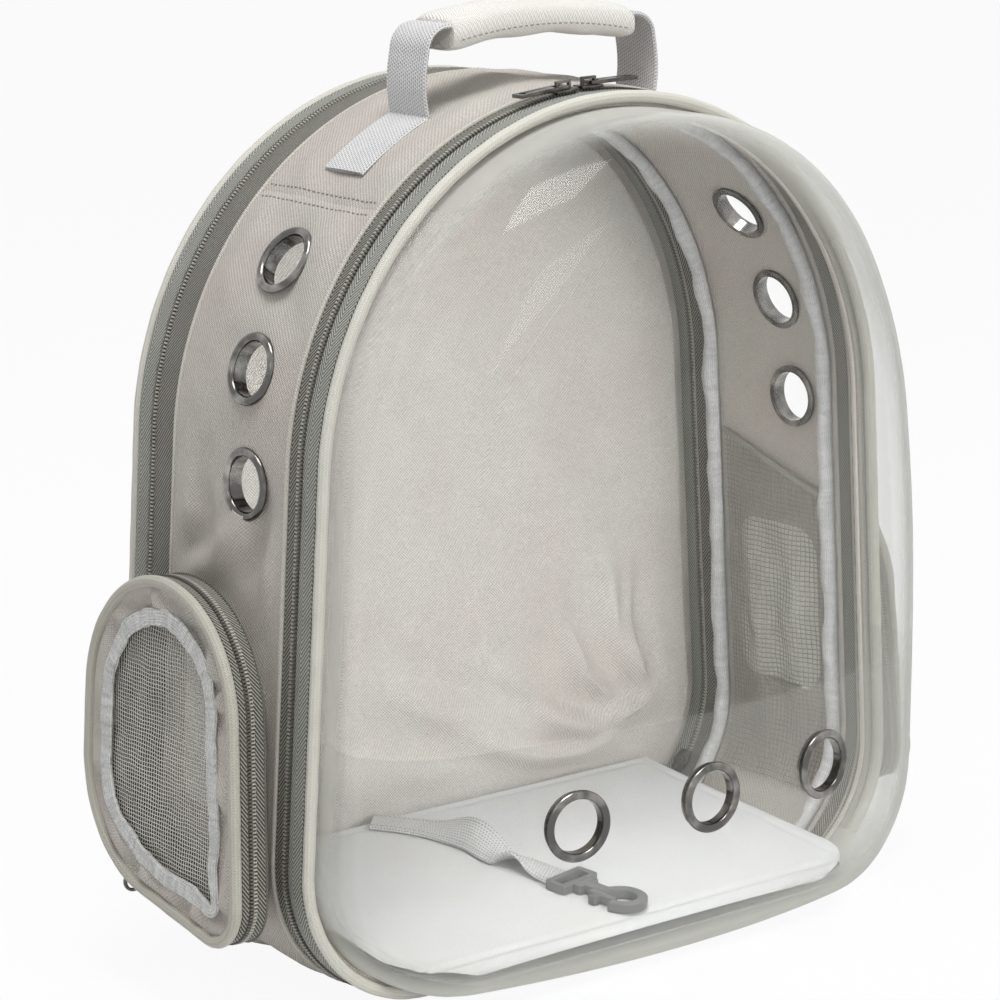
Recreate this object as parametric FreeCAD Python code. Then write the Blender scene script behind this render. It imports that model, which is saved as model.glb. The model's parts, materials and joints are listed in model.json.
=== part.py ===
import FreeCAD, Part
import math
import os

V = FreeCAD.Vector

# Driving dimensions of the arched body
bag_width = 320.0
bag_height = 366.0
bag_depth = 140.0
crown_radius = 150.0
corner_radius = 62.0
wall = 3.0
gap = 0.3
overrun = 40.0

# Seams on the crown, as turns from the horizontal
seam_turn = math.radians(46.0)

# Piping and the flat frame of the two doors
piping_radius = 3.2
piping_seat = 0.2
frame_thickness = 2.4
frame_inset = 0.8
frame_inner_inset = 9.2

# Zip tapes, teeth rows and their gap
tape_inset = 0.9
tape_thickness = 1.2
bead_inset = 0.1
bead_thickness = 2.8
bead_width = 1.8
chain_gap = 1.2
cover_tape_width = 5.0
front_tape_width = 6.2
back_tape_width = 6.0
rear_tape_width = 15.2

# Clear front bubble
bubble_inset = 7.0
bubble_wall = 1.4
bubble_depth = 60.0
bubble_cap_radius = 480.0
bubble_edge_radius = 36.0

# Rolled eyelets
eyelet_bore_radius = 11.2
eyelet_neck_wall = 0.6
eyelet_flange_radius = 15.0
eyelet_roll = 2.0
eyelet_washer_radius = 14.0
eyelet_washer_thickness = 1.2
eyelet_play = 0.2
vent_count = 3
vent_pitch = 46.0
vent_first_drop = 29.9
vent_first_back = 36.0
vent_slant = -4.5
cover_vent_pitch = 67.0
cover_vent_z = 82.0

# Side windows and their nets
net_top_drop = 36.0
net_foot_rise = 3.9
net_play = 1.0
net_corner_radius = 6.0
net_thickness = 0.8
net_columns = 7
net_rows = 14
net_bar = 1.8
window_side_margin = 5.0
window_top_margin = 36.0
window_foot_margin = 4.0
window_corner_share = 0.175

# Bound seams inside
binding_width = 9.0
binding_thickness = 8.0
binding_chamfer = 2.4

# Base board and floor mat
board_thickness = 2.0
board_length = 186.0
board_margin = 8.0
mat_half_width = 125.0
mat_foot_half_width = 92.0
mat_foot_rise = 10.4
mat_front_reach = 27.0
mat_rear_gap = 1.2
mat_front_bottom = 10.2
mat_front_top = 20.5
mat_rear_bottom = 14.6
mat_rear_top = 33.0
mat_edge_radius = 4.0
mat_corner_radius = 34.0

# Handle
handle_y = -8.0
handle_width = 25.0
handle_foot_x = 61.0
handle_tab_end_x = 93.0
handle_webbing_thickness = 1.6
handle_rise = 26.0
handle_corner_radius = 9.0
handle_pivot_rise = 13.4
grip_length = 96.0
grip_width = 29.0
grip_height = 15.0
grip_radius = 5.0

# Leash, laid on the mat, as runs with tangent bends
leash_width = 15.0
leash_thickness = 1.6
leash_points = [(-42.0, 50.0), (-26.0, 34.0), (-20.0, 10.0), (-18.5, -12.0), (-13.0, -30.0), (-10.0, -45.0)]
leash_bend_share = 0.45
hook_loop_width = 23.0
hook_loop_length = 11.0
hook_loop_bar = 2.6
hook_thickness = 4.0
hook_neck_width = 6.0
hook_neck_length = 8.0
hook_collar_length = 4.0
hook_collar_width = 12.0
hook_ring_radius = 10.5
hook_ring_bore = 6.0
gate_width = 3.6
gate_travel = 4.5

# Back door
lining_inset = 8.0
lining_thickness = 2.6
pad_inset = 20.0
pad_thickness = 9.0
pad_edge_radius = 4.0
pad_channel_width = 8.0
pad_channel_depth = 3.0

# Shoulder straps
strap_width = 52.0
strap_thickness = 9.0
strap_top_z = 318.0
strap_bottom_z = 158.0
strap_top_x = 46.0
strap_turn = math.radians(9.0)
strap_bow = 20.0
strap_edge_radius = 3.0
webbing_width = 25.0
webbing_thickness = 1.8
webbing_anchor_z = 46.0
webbing_anchor_x = 104.0
lock_width = 34.0
lock_height = 26.0
lock_thickness = 4.5
lock_slot_height = 4.5
lock_bar = 4.0

# Pockets: circles of the outline (y, height up the side, radius)
pocket_circles = [(-40.0, 51.0, 18.5), (4.0, 94.0, 54.0), (3.0, 120.0, 55.0)]
pocket_root_inset = 14.0
pocket_flare_depth = 10.0
pocket_wall_thickness = 1.6
pocket_wall_tape_width = 4.0
pocket_door_tape_width = 2.4
pocket_piping_radius = 2.2
pocket_piping_play = 0.2
pocket_panel_thickness = 1.8
pocket_binding_outer_inset = 10.0
pocket_binding_inner_inset = 16.6
pocket_binding_thickness = 1.2
pocket_hole_inset = 14.0
pocket_net_inset = 10.0
pocket_net_thickness = 0.8
pocket_net_pitch = 8.4
pocket_net_gap = 6.6
pocket_net_edge = 5.2
pocket_hinge_half = 20.0

# Zip sliders and pulls
slider_length = 11.0
slider_width = 9.0
slider_nose_width = 6.4
slider_plate = 1.2
slider_post_width = 0.6
slider_post_length = 3.0
slider_lip = 0.8
bail_length = 7.4
bail_height = 3.4
bail_width = 1.6
bail_bar = 1.1
pull_length = 24.0
pull_width = 7.0
pull_thickness = 1.4
pull_eye_length = 5.4
pull_eye_width = 2.6
pull_bar = 1.3
pull_hole_radius = 1.5
ring_pull_radius = 4.8
ring_pull_wire = 1.4
front_meet_turn = math.radians(-3.8)
front_slider_turn = math.radians(2.5)
rear_slider_turn = math.radians(-38.0)
pocket_slider_turn = math.radians(-62.0)

# Places worked out from the dimensions
corner_x = bag_width / 2 - corner_radius
crown_z = bag_height - crown_radius
bag_circles = [(corner_x, corner_radius, corner_radius), (0, crown_z, crown_radius),
               (-corner_x, corner_radius, corner_radius)]
run = math.hypot(corner_x, crown_z - corner_radius)
side_lean = math.acos((crown_radius - corner_radius) / run) - math.atan2(crown_z - corner_radius, corner_x)
front_y = -bag_depth / 2
frame_front = front_y + 2 * piping_radius + piping_seat
frame_back = frame_front + frame_thickness
cover_tape_end = frame_back + cover_tape_width
cover_bead_end = cover_tape_end + bead_width
front_chain_y = cover_bead_end + chain_gap / 2
front_bead_start = cover_bead_end + chain_gap
panel_front = front_bead_start + bead_width + front_tape_width
rear_y = bag_depth / 2
plate_back = rear_y - 2 * piping_radius - piping_seat
plate_front = plate_back - frame_thickness
back_bead_start = plate_front - back_tape_width - bead_width
rear_chain_y = back_bead_start - chain_gap / 2
rear_bead_end = back_bead_start - chain_gap
panel_rear = rear_bead_end - bead_width - rear_tape_width
piping_inset = piping_radius + piping_seat
neck_radius = eyelet_bore_radius + eyelet_neck_wall
handle_top = bag_height + handle_rise
vent_first_rise = crown_radius * (seam_turn - side_lean) - vent_first_drop


def flat(y):
    return lambda u, v: V(u, y, v)


def upright(x):
    return lambda u, v: V(x, u, v)


def outline(circles, inset, lift):
    """Closed outline round circles given anticlockwise: tangent lines and arcs."""
    count = len(circles)
    normals = []
    for i in range(count):
        u1, v1, r1 = circles[i]
        u2, v2, r2 = circles[(i + 1) % count]
        span = math.hypot(u2 - u1, v2 - v1)
        du = (u2 - u1) / span
        dv = (v2 - v1) / span
        along = (r1 - r2) / span
        across = math.sqrt(1 - along * along)
        normals.append((du * along + dv * across, dv * along - du * across))
    edges = []
    for i in range(count):
        j = (i + 1) % count
        u1, v1, r1 = circles[i]
        u2, v2, r2 = circles[j]
        nu, nv = normals[i]
        start = lift(u1 + (r1 - inset) * nu, v1 + (r1 - inset) * nv)
        end = lift(u2 + (r2 - inset) * nu, v2 + (r2 - inset) * nv)
        edges.append(Part.LineSegment(start, end).toShape())
        a0 = math.atan2(nv, nu)
        a1 = math.atan2(normals[j][1], normals[j][0])
        if a1 < a0:
            a1 += 2 * math.pi
        points = [lift(u2 + (r2 - inset) * math.cos(a), v2 + (r2 - inset) * math.sin(a))
                  for a in (a0, (a0 + a1) / 2, a1)]
        edges.append(Part.Arc(*points).toShape())
    return Part.Wire(edges)


def prism(points, lift, push):
    wire = Part.makePolygon([lift(u, v) for u, v in points + points[:1]])
    return Part.Face(wire).extrude(push)


def box(x0, x1, y0, y1, z0, z1):
    return Part.makeBox(x1 - x0, y1 - y0, z1 - z0, V(x0, y0, z0))


def arch(inset, y0, y1):
    return Part.Face(outline(bag_circles, inset, flat(y0))).extrude(V(0, y1 - y0, 0))


def arch_ring(outer, inner, y0, y1):
    return arch(outer, y0, y1).cut(arch(inner, y0, y1))


def dee(inset, x0, x1):
    return Part.Face(outline(pocket_circles, inset, upright(x0))).extrude(V(x1 - x0, 0, 0))


def dee_ring(outer, inner, x0, x1):
    return dee(outer, x0, x1).cut(dee(inner, x0, x1))


def tube(path, start, along, radius):
    section = Part.Wire(Part.makeCircle(radius, start, along))
    return path.makePipeShell([section], True, False)


def mirrored(shape):
    return shape.mirror(V(0, 0, 0), V(1, 0, 0))


def on_side(shape):
    """Take a piece built against the plane x = 0 to the right side of the body."""
    foot = corner_x + corner_radius * math.cos(side_lean)
    foot += math.tan(side_lean) * corner_radius * (1 + math.sin(side_lean))
    moved = shape.copy()
    moved.rotate(V(0, 0, 0), V(0, 1, 0), -math.degrees(side_lean))
    moved.translate(V(foot, 0, 0))
    return moved


def crown_wedge(turn0, turn1):
    reach = bag_width
    points = [(0, crown_z), (reach * math.cos(turn0), crown_z + reach * math.sin(turn0)),
              (0, crown_z + 2 * reach), (reach * math.cos(turn1), crown_z + reach * math.sin(turn1))]
    return prism(points, flat(-bag_depth), V(0, 2 * bag_depth, 0))


def eyelet(grip):
    """Rolled eyelet along +Z with its flange on z = 0, and the washer under a wall."""
    half = (eyelet_flange_radius - eyelet_bore_radius) / 2
    mid = eyelet_bore_radius + half
    rim = V(eyelet_flange_radius, 0, 0)
    crest = V(mid, 0, eyelet_roll)
    lip = V(eyelet_bore_radius, 0, 0)
    foot = -grip - eyelet_washer_thickness - eyelet_play
    edges = [Part.Arc(rim, crest, lip).toShape()]
    points = [lip, V(eyelet_bore_radius, 0, foot), V(neck_radius, 0, foot), V(neck_radius, 0, 0), rim]
    for start, end in zip(points, points[1:]):
        edges.append(Part.LineSegment(start, end).toShape())
    ring = Part.Face(Part.Wire(edges)).revolve(V(0, 0, 0), V(0, 0, 1), 360)
    under = -grip - eyelet_washer_thickness
    washer = Part.makeCylinder(eyelet_washer_radius, eyelet_washer_thickness, V(0, 0, under))
    hole = Part.makeCylinder(neck_radius + eyelet_play / 2, eyelet_washer_thickness, V(0, 0, under))
    return Part.makeCompound([ring, washer.cut(hole)])


def side_place(rise):
    """Point and outward direction on the right side, a distance up from the crown's end."""
    turn = side_lean + rise / crown_radius
    if rise < 0:
        turn = side_lean
    out = V(math.cos(turn), 0, math.sin(turn))
    point = V(0, 0, crown_z) + out * crown_radius
    if rise < 0:
        point = point + V(-math.sin(turn), 0, math.cos(turn)) * rise
    return point, out


def aim(shape, point, out):
    turned = shape.copy()
    turned.Placement = FreeCAD.Placement(point, FreeCAD.Rotation(V(0, 0, 1), out))
    return turned


def vent_places():
    places = []
    for i in range(vent_count):
        point, out = side_place(vent_first_rise - i * vent_pitch)
        places.append((V(point.x, panel_front + vent_first_back + i * vent_slant, point.z), out))
    return places


def side_prism(front, rear, low, top, corner, x0, x1):
    """Rounded rectangle in the right side's own plane, pushed from x0 to x1."""
    circles = [(front + corner, low + corner, corner), (rear - corner, low + corner, corner),
               (rear - corner, top - corner, corner), (front + corner, top - corner, corner)]
    return Part.Face(outline(circles, 0, upright(x0))).extrude(V(x1 - x0, 0, 0))


def net_extent():
    front = panel_front + binding_width + net_play
    rear = panel_rear - binding_width / 2 - net_play
    top = (crown_z + crown_radius * math.sin(side_lean)) / math.cos(side_lean) - net_top_drop
    low = corner_radius * (1 + math.sin(side_lean)) / math.cos(side_lean) + net_foot_rise
    return front, rear, low, top


def window_prism():
    front, rear, low, top = net_extent()
    low += window_foot_margin
    top -= window_top_margin
    return side_prism(front + window_side_margin, rear - window_side_margin, low, top,
                      window_corner_share * (top - low), -overrun, overrun)


def make_side_panel():
    ring = arch_ring(0, wall, panel_front, panel_rear)
    reach = bag_width
    points = [(corner_x, -overrun), (reach, -overrun),
              (reach, crown_z + reach * math.tan(seam_turn)), (0, crown_z), (corner_x, corner_radius)]
    panel = ring.common(prism(points, flat(-bag_depth), V(0, 2 * bag_depth, 0)))
    panel = panel.cut(on_side(window_prism()))
    for point, out in vent_places():
        hole = Part.makeCylinder(neck_radius + eyelet_play, 2 * overrun, V(0, 0, -overrun))
        panel = panel.cut(aim(hole, point, out))
    return panel


def make_side_grommets():
    pieces = []
    for point, out in vent_places():
        sag = eyelet_flange_radius ** 2 / crown_radius / 2
        pieces += aim(eyelet(wall + gap + sag), point + out * gap, out).Solids
    pieces += [mirrored(piece) for piece in pieces]
    return Part.makeCompound(pieces)


def make_side_net():
    front, rear, low, top = net_extent()
    x1 = -wall - gap
    x0 = x1 - net_thickness
    plate = side_prism(front, rear, low, top, net_corner_radius, x0, x1)
    step_y = (rear - front - 2 * net_bar) / net_columns
    step_z = (top - low - 2 * net_bar) / net_rows
    holes = []
    for i in range(net_columns):
        for k in range(net_rows):
            y0 = front + net_bar + i * step_y + net_bar / 2
            z0 = low + net_bar + k * step_z + net_bar / 2
            holes.append(box(x0, x1, y0, y0 + step_y - net_bar, z0, z0 + step_z - net_bar))
    return on_side(plate.cut(Part.makeCompound(holes)))


def make_top_panel():
    ring = arch_ring(0, wall, panel_front, panel_rear)
    return ring.common(crown_wedge(seam_turn, math.pi - seam_turn))


def make_base_panel():
    return box(-corner_x, corner_x, front_chain_y + chain_gap, rear_chain_y - chain_gap, 0, wall)


def make_base_board():
    half = board_length / 2
    return box(-half, half, panel_front + board_margin, panel_rear - board_margin, wall, wall + board_thickness)


def make_floor_mat():
    """Wedge cushion with rounded edges, drawn in at its sides and rounded in plan."""
    front = front_y - mat_front_reach
    rear = plate_front - lining_thickness - mat_rear_gap
    edge = mat_edge_radius
    half = mat_half_width
    corner = mat_corner_radius
    wedge = [(front + edge, mat_front_bottom + edge, edge), (rear - edge, mat_rear_bottom + edge, edge),
             (rear - edge, mat_rear_top - edge, edge), (front + edge, mat_front_top - edge, edge)]
    body = Part.Face(outline(wedge, 0, upright(-half))).extrude(V(2 * half, 0, 0))
    top = 2 * mat_rear_top
    shoulder = mat_front_bottom + mat_foot_rise
    feet = [(-mat_foot_half_width, mat_front_bottom), (mat_foot_half_width, mat_front_bottom),
            (half, shoulder), (half, top), (-half, top), (-half, shoulder)]
    body = body.common(prism(feet, flat(front), V(0, rear - front, 0)))
    plan = [(-half + corner, front + corner, corner), (half - corner, front + corner, corner),
            (half - edge, rear - edge, edge), (-half + edge, rear - edge, edge)]
    return body.common(Part.Face(outline(plan, 0, lambda u, v: V(u, v, 0))).extrude(V(0, 0, top)))


def open_low(ring):
    return ring.cut(box(-corner_x, corner_x, -bag_depth, bag_depth, -overrun, overrun))


def zip_half(tape0, tape1, bead0, bead1):
    tape = arch_ring(tape_inset, tape_inset + tape_thickness, tape0, tape1)
    bead = arch_ring(bead_inset, bead_inset + bead_thickness, bead0, bead1)
    return open_low(tape.fuse(bead)).removeSplitter()


def make_binding(y):
    outer = wall + gap
    half = binding_width / 2
    ring = arch_ring(outer, outer + binding_thickness, y - half, y + half)
    inner = arch(outer + binding_thickness, y - half, y + half)
    edges = [e for e in ring.Edges if any(e.isSame(f) or e.distToShape(f)[0] < gap / 10 and
             abs(e.Length - f.Length) < gap / 10 for f in inner.Edges)]
    return ring.makeChamfer(binding_chamfer, edges)


def make_handle_tab():
    turn0 = math.acos((handle_foot_x + handle_webbing_thickness) / crown_radius)
    turn1 = math.acos(handle_tab_end_x / crown_radius)
    low = handle_y - handle_width / 2
    inner = Part.makeCylinder(crown_radius + piping_seat, handle_width, V(0, low, crown_z), V(0, 1, 0))
    outer = Part.makeCylinder(crown_radius + piping_seat + handle_webbing_thickness, handle_width,
                              V(0, low, crown_z), V(0, 1, 0))
    reach = bag_width
    points = [(0, crown_z), (reach * math.cos(turn1), crown_z + reach * math.sin(turn1)),
              (reach * math.cos(turn0), crown_z + reach * math.sin(turn0))]
    return outer.cut(inner).common(prism(points, flat(-bag_depth), V(0, 2 * bag_depth, 0)))


def handle_pivot_z():
    return crown_z + math.sqrt(crown_radius ** 2 - handle_foot_x ** 2) + handle_pivot_rise


def make_handle_webbing():
    pivot = handle_pivot_z()
    thick = handle_webbing_thickness
    low = handle_y - handle_width / 2
    outer = box(-handle_foot_x, handle_foot_x, low, low + handle_width, pivot, handle_top)
    rim = [e for e in outer.Edges if e.BoundBox.YLength > handle_width / 2 and e.BoundBox.ZMin > pivot]
    outer = outer.makeFillet(handle_corner_radius, rim)
    inner = box(-handle_foot_x + thick, handle_foot_x - thick, low, low + handle_width, pivot - thick,
                handle_top - thick)
    rim = [e for e in inner.Edges if e.BoundBox.YLength > handle_width / 2 and e.BoundBox.ZMin > pivot]
    inner = inner.makeFillet(handle_corner_radius - thick, rim)
    loop = outer.cut(inner)
    for x in (-handle_foot_x, handle_foot_x - thick):
        end = Part.makeCylinder(handle_width / 2, thick, V(x, handle_y, pivot), V(1, 0, 0))
        loop = loop.fuse(end)
    return loop.removeSplitter()


def make_handle_grip():
    half = grip_length / 2
    mid = handle_top - handle_webbing_thickness / 2
    grip = box(-half, half, handle_y - grip_width / 2, handle_y + grip_width / 2,
               mid - grip_height / 2 - grip_height / 10, mid + grip_height / 2 - grip_height / 10)
    rim = [e for e in grip.Edges if e.BoundBox.XLength > half]
    grip = grip.makeFillet(grip_radius, rim)
    play = piping_seat
    slot = box(-half, half, handle_y - handle_width / 2 - play, handle_y + handle_width / 2 + play,
               handle_top - handle_webbing_thickness - play, handle_top + play)
    return grip.cut(slot)


def mat_top_pose(shape):
    """Lay a flat piece built on z = 0 on the top of the mat."""
    front = front_y - mat_front_reach
    rear = plate_front - lining_thickness - mat_rear_gap
    edge = mat_edge_radius
    slope = math.atan2(mat_rear_top - mat_front_top, rear - front - 2 * edge)
    rise = mat_front_top - edge + edge / math.cos(slope) - (front + edge) * math.tan(slope)
    laid = shape.copy()
    laid.rotate(V(0, 0, 0), V(1, 0, 0), math.degrees(slope))
    laid.translate(V(0, 0, rise + gap))
    return laid


def leash_path():
    """Runs joined by tangent arcs, each bend taking a set share of the shorter run."""
    points = [V(u, v, 0) for u, v in leash_points]
    edges = []
    last = points[0]
    for before, here, after in zip(points, points[1:], points[2:]):
        back = (before - here).normalize()
        ahead = (after - here).normalize()
        trim = leash_bend_share * min((before - here).Length, (after - here).Length)
        half = (math.pi - back.getAngle(ahead)) / 2
        radius = trim / math.tan(half)
        start = here + back * trim
        end = here + ahead * trim
        centre = here + (back + ahead).normalize() * (radius / math.cos(half))
        middle = centre + (here - centre).normalize() * radius
        edges.append(Part.LineSegment(last, start).toShape())
        edges.append(Part.Arc(start, middle, end).toShape())
        last = end
        print("leash bend radius", round(radius, 1))
    edges.append(Part.LineSegment(last, points[-1]).toShape())
    path = Part.Wire(edges)
    print("leash length", round(path.Length, 1))
    return path


def make_leash_webbing():
    path = leash_path()
    first = V(leash_points[0][0], leash_points[0][1], 0)
    second = V(leash_points[1][0], leash_points[1][1], 0)
    along = (second - first).normalize()
    across = V(-along.y, along.x, 0) * (leash_width / 2)
    up = V(0, 0, leash_thickness)
    corners = [first + across, first - across, first - across + up, first + across + up]
    section = Part.makePolygon(corners + corners[:1])
    sweep = path.makePipeShell([section], True, False)
    return mat_top_pose(sweep)


def hook_frame(shape):
    """Turn a piece built along -Y from the leash end and lay it on the mat."""
    first = V(leash_points[-2][0], leash_points[-2][1], 0)
    last = V(leash_points[-1][0], leash_points[-1][1], 0)
    along = last - first
    turned = shape.copy()
    turned.rotate(V(0, 0, 0), V(0, 0, 1), math.degrees(math.atan2(along.x, -along.y)))
    turned.translate(last)
    return mat_top_pose(turned)


def make_leash_hook_base():
    half = hook_loop_width / 2
    frame = box(-half, half, -hook_loop_length - gap, -gap, 0, hook_thickness)
    window = box(-half + hook_loop_bar, half - hook_loop_bar, -hook_loop_length - gap + hook_loop_bar,
                 -gap - hook_loop_bar, 0, hook_thickness)
    rim = [e for e in frame.Edges if e.BoundBox.ZLength > hook_thickness / 2]
    frame = frame.makeFillet(hook_loop_bar / 2, rim).cut(window)
    return hook_frame(frame)


def hook_collar_end():
    return -hook_loop_length - 2 * gap - hook_collar_length


def hook_ring_centre():
    return hook_collar_end() - hook_neck_length - hook_ring_radius


def make_leash_hook():
    """Swivel collar, neck and open ring, with the gate's side of the ring cut away."""
    collar_end = hook_collar_end()
    half = hook_collar_width / 2
    collar = box(-half, half, collar_end, collar_end + hook_collar_length, 0, hook_thickness)
    mid = hook_ring_centre()
    half = hook_neck_width / 2
    neck = box(-half, half, mid + hook_ring_bore, collar_end, 0, hook_thickness)
    ring = Part.makeCylinder(hook_ring_radius, hook_thickness, V(0, mid, 0)).fuse([neck, collar])
    ring = ring.cut(Part.makeCylinder(hook_ring_bore, hook_thickness, V(0, mid, 0)))
    mouth = box(-hook_ring_radius - gap, -half, mid, collar_end, 0, hook_thickness)
    return hook_frame(ring.cut(mouth).removeSplitter())


def make_leash_hook_gate():
    """Sliding bolt beside the neck that shuts the ring's mouth."""
    mid = hook_ring_centre()
    inner = -hook_neck_width / 2 - gap
    bolt = box(inner - gate_width, inner, mid + gap, hook_collar_end() - gap - gate_travel, 0, hook_thickness)
    knob = box(inner - 2 * gate_width, inner, mid + hook_ring_radius - gate_width, mid + hook_ring_radius,
               0, hook_thickness)
    return hook_frame(bolt.fuse(knob).removeSplitter())


def make_cover_frame():
    ring = arch_ring(frame_inset, frame_inner_inset, frame_front, frame_back)
    half = corner_x - gap
    lip = box(-half, half, frame_back, front_chain_y - chain_gap, frame_inset, frame_inset + frame_thickness)
    return ring.fuse(lip).removeSplitter()


def make_piping(y):
    path = outline(bag_circles, piping_inset, flat(y))
    return tube(path, V(-corner_x, y, piping_inset), V(1, 0, 0), piping_radius)


def bubble_solid(inset, front, radius, edge):
    block = arch(inset, frame_front, front - overrun)
    cap = Part.makeCylinder(radius, 2 * bag_height, V(0, front + radius, -bag_height / 2))
    block = block.common(cap)
    faces = [f for f in block.Faces if isinstance(f.Surface, Part.Cylinder)
             and abs(f.Surface.Radius - radius) < gap]
    return block.makeFillet(edge, faces[0].Edges)


def cover_vent_places():
    front = front_y - bubble_depth
    centre = V(0, front + bubble_cap_radius, cover_vent_z)
    places = []
    for i in (-1, 0, 1):
        turn = math.asin(i * cover_vent_pitch / bubble_cap_radius)
        out = V(math.sin(turn), -math.cos(turn), 0)
        places.append((centre + out * bubble_cap_radius, out))
    return places


def make_cover_bubble():
    front = front_y - bubble_depth
    outer = bubble_solid(bubble_inset, front, bubble_cap_radius, bubble_edge_radius)
    inner = bubble_solid(bubble_inset + bubble_wall, front + bubble_wall, bubble_cap_radius - bubble_wall,
                         bubble_edge_radius - bubble_wall)
    shell = outer.cut(inner)
    for point, out in cover_vent_places():
        hole = Part.makeCylinder(neck_radius + eyelet_play, overrun, V(0, 0, -overrun / 2))
        shell = shell.cut(aim(hole, point, out))
    return shell


def make_cover_grommets():
    pieces = []
    for point, out in cover_vent_places():
        pieces += aim(eyelet(bubble_wall + 2 * gap), point + out * gap, out).Solids
    return Part.makeCompound(pieces)


def make_back_panel():
    plate = arch(frame_inset, plate_front, plate_back)
    half = corner_x - gap
    lip = box(-half, half, rear_chain_y + chain_gap, plate_front, frame_inset, frame_inset + frame_thickness)
    return plate.fuse(lip).removeSplitter()


def make_back_lining():
    return arch(lining_inset, plate_front - lining_thickness, plate_front)


def make_back_pad():
    pad = arch(pad_inset, plate_back, plate_back + pad_thickness)
    rim = [e for e in pad.Edges if e.BoundBox.YMin > plate_back + pad_thickness - gap]
    pad = pad.makeFillet(pad_edge_radius, rim)
    half = pad_channel_width / 2
    top = plate_back + pad_thickness
    for x in (-strap_width - half, -half, strap_width - half):
        pad = pad.cut(box(x, x + pad_channel_width, top - pad_channel_depth, top + overrun, -overrun,
                          bag_height + overrun))
    return pad


def strap_seat():
    return plate_back + pad_thickness + gap


def make_shoulder_strap():
    """Right strap: a bowed padded band, turned outward towards its foot."""
    low = strap_bottom_z - strap_top_z
    seat = strap_seat()
    thick = strap_thickness
    inner = Part.Arc(V(0, seat, 0), V(0, seat + strap_bow, low / 2), V(0, seat, low)).toShape()
    outer = Part.Arc(V(0, seat + thick, 0), V(0, seat + thick + strap_bow, low / 2),
                     V(0, seat + thick, low)).toShape()
    ends = [Part.LineSegment(V(0, seat, z), V(0, seat + thick, z)).toShape() for z in (low, 0)]
    face = Part.Face(Part.Wire([inner, ends[0], outer, ends[1]]))
    band = face.extrude(V(strap_width, 0, 0))
    band.translate(V(-strap_width / 2, 0, 0))
    rim = [e for e in band.Edges if e.Length > strap_width + thick]
    band = band.makeFillet(strap_edge_radius, rim)
    return strap_pose(band)


def strap_pose(shape):
    posed = shape.copy()
    posed.rotate(V(0, 0, 0), V(0, 1, 0), -math.degrees(strap_turn))
    posed.translate(V(strap_top_x, 0, strap_top_z))
    return posed


def make_ladder_lock():
    low = strap_bottom_z - strap_top_z - gap
    y0 = strap_seat() + strap_thickness / 2 - lock_thickness / 2
    half = lock_width / 2
    plate = box(-half, half, y0, y0 + lock_thickness, low - lock_height, low)
    rim = [e for e in plate.Edges if e.BoundBox.YLength > lock_thickness / 2]
    plate = plate.makeFillet(lock_bar / 2, rim)
    slot = webbing_width / 2 + gap
    for k in range(2):
        top = low - lock_bar - k * (lock_slot_height + lock_bar)
        plate = plate.cut(box(-slot, slot, y0, y0 + lock_thickness, top - lock_slot_height, top))
    return strap_pose(plate)


def make_strap_webbing():
    """Flat webbing from behind the ladder lock to its sewn foot on the door."""
    head = strap_bottom_z - strap_top_z - gap - lock_bar
    rear = strap_seat() + strap_thickness / 2 - lock_thickness / 2 - gap
    top = strap_pose(Part.Vertex(V(0, 0, head))).Vertexes[0].Point
    turn = math.atan2(webbing_anchor_x - top.x, top.z - webbing_anchor_z)
    drop = math.hypot(webbing_anchor_x - top.x, top.z - webbing_anchor_z)
    seat = strap_seat()
    points = [(rear, 0), (rear - webbing_thickness, 0), (seat, -drop), (seat + webbing_thickness, -drop)]
    web = prism(points, upright(-webbing_width / 2), V(webbing_width, 0, 0))
    web.rotate(V(0, 0, 0), V(0, 1, 0), -math.degrees(turn))
    web.translate(V(top.x, 0, top.z))
    return web


def pocket_levels():
    tape0 = gap + pocket_flare_depth
    bead0 = tape0 + pocket_wall_tape_width
    bead1 = bead0 + bead_width
    bead2 = bead1 + chain_gap
    bead3 = bead2 + bead_width
    tape1 = bead3 + pocket_door_tape_width
    return tape0, bead0, bead1, bead2, bead3, tape1


def make_pocket_wall():
    tape0 = pocket_levels()[0]
    shells = []
    for extra in (0, pocket_wall_thickness):
        wires = [outline(pocket_circles, pocket_root_inset + extra, upright(gap)),
                 outline(pocket_circles, extra, upright(tape0))]
        shells.append(Part.makeLoft(wires, True, True))
    return on_side(shells[0].cut(shells[1]))


def clear_hinge(ring):
    v = pocket_circles[-1][1]
    edge = pocket_circles[-1][0] + pocket_circles[-1][2]
    return ring.cut(box(-overrun, overrun, edge - overrun / 2, edge + overrun, v - pocket_hinge_half,
                        v + pocket_hinge_half))


def pocket_zip_half(tape0, tape1, bead0, bead1):
    tape = dee_ring(tape_inset, tape_inset + tape_thickness, tape0, tape1)
    bead = dee_ring(bead_inset, bead_inset + bead_thickness, bead0, bead1)
    return on_side(clear_hinge(tape.fuse(bead)).removeSplitter())


def pocket_face_level():
    return pocket_levels()[5] + pocket_piping_play + pocket_piping_radius


def make_pocket_piping():
    x = pocket_face_level()
    inset = pocket_piping_radius - pocket_piping_play
    path = outline(pocket_circles, inset, upright(x))
    first = path.Edges[0]
    start = first.Vertexes[0].Point
    return on_side(tube(path, start, first.tangentAt(first.FirstParameter), pocket_piping_radius))


def pocket_panel_inset():
    return 2 * pocket_piping_radius


def make_pocket_panel():
    x = pocket_face_level() - pocket_panel_thickness / 2
    return on_side(dee_ring(pocket_panel_inset(), pocket_hole_inset, x, x + pocket_panel_thickness))


def make_pocket_binding():
    x = pocket_face_level() + pocket_panel_thickness / 2
    return on_side(dee_ring(pocket_binding_outer_inset, pocket_binding_inner_inset, x,
                            x + pocket_binding_thickness))


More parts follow.
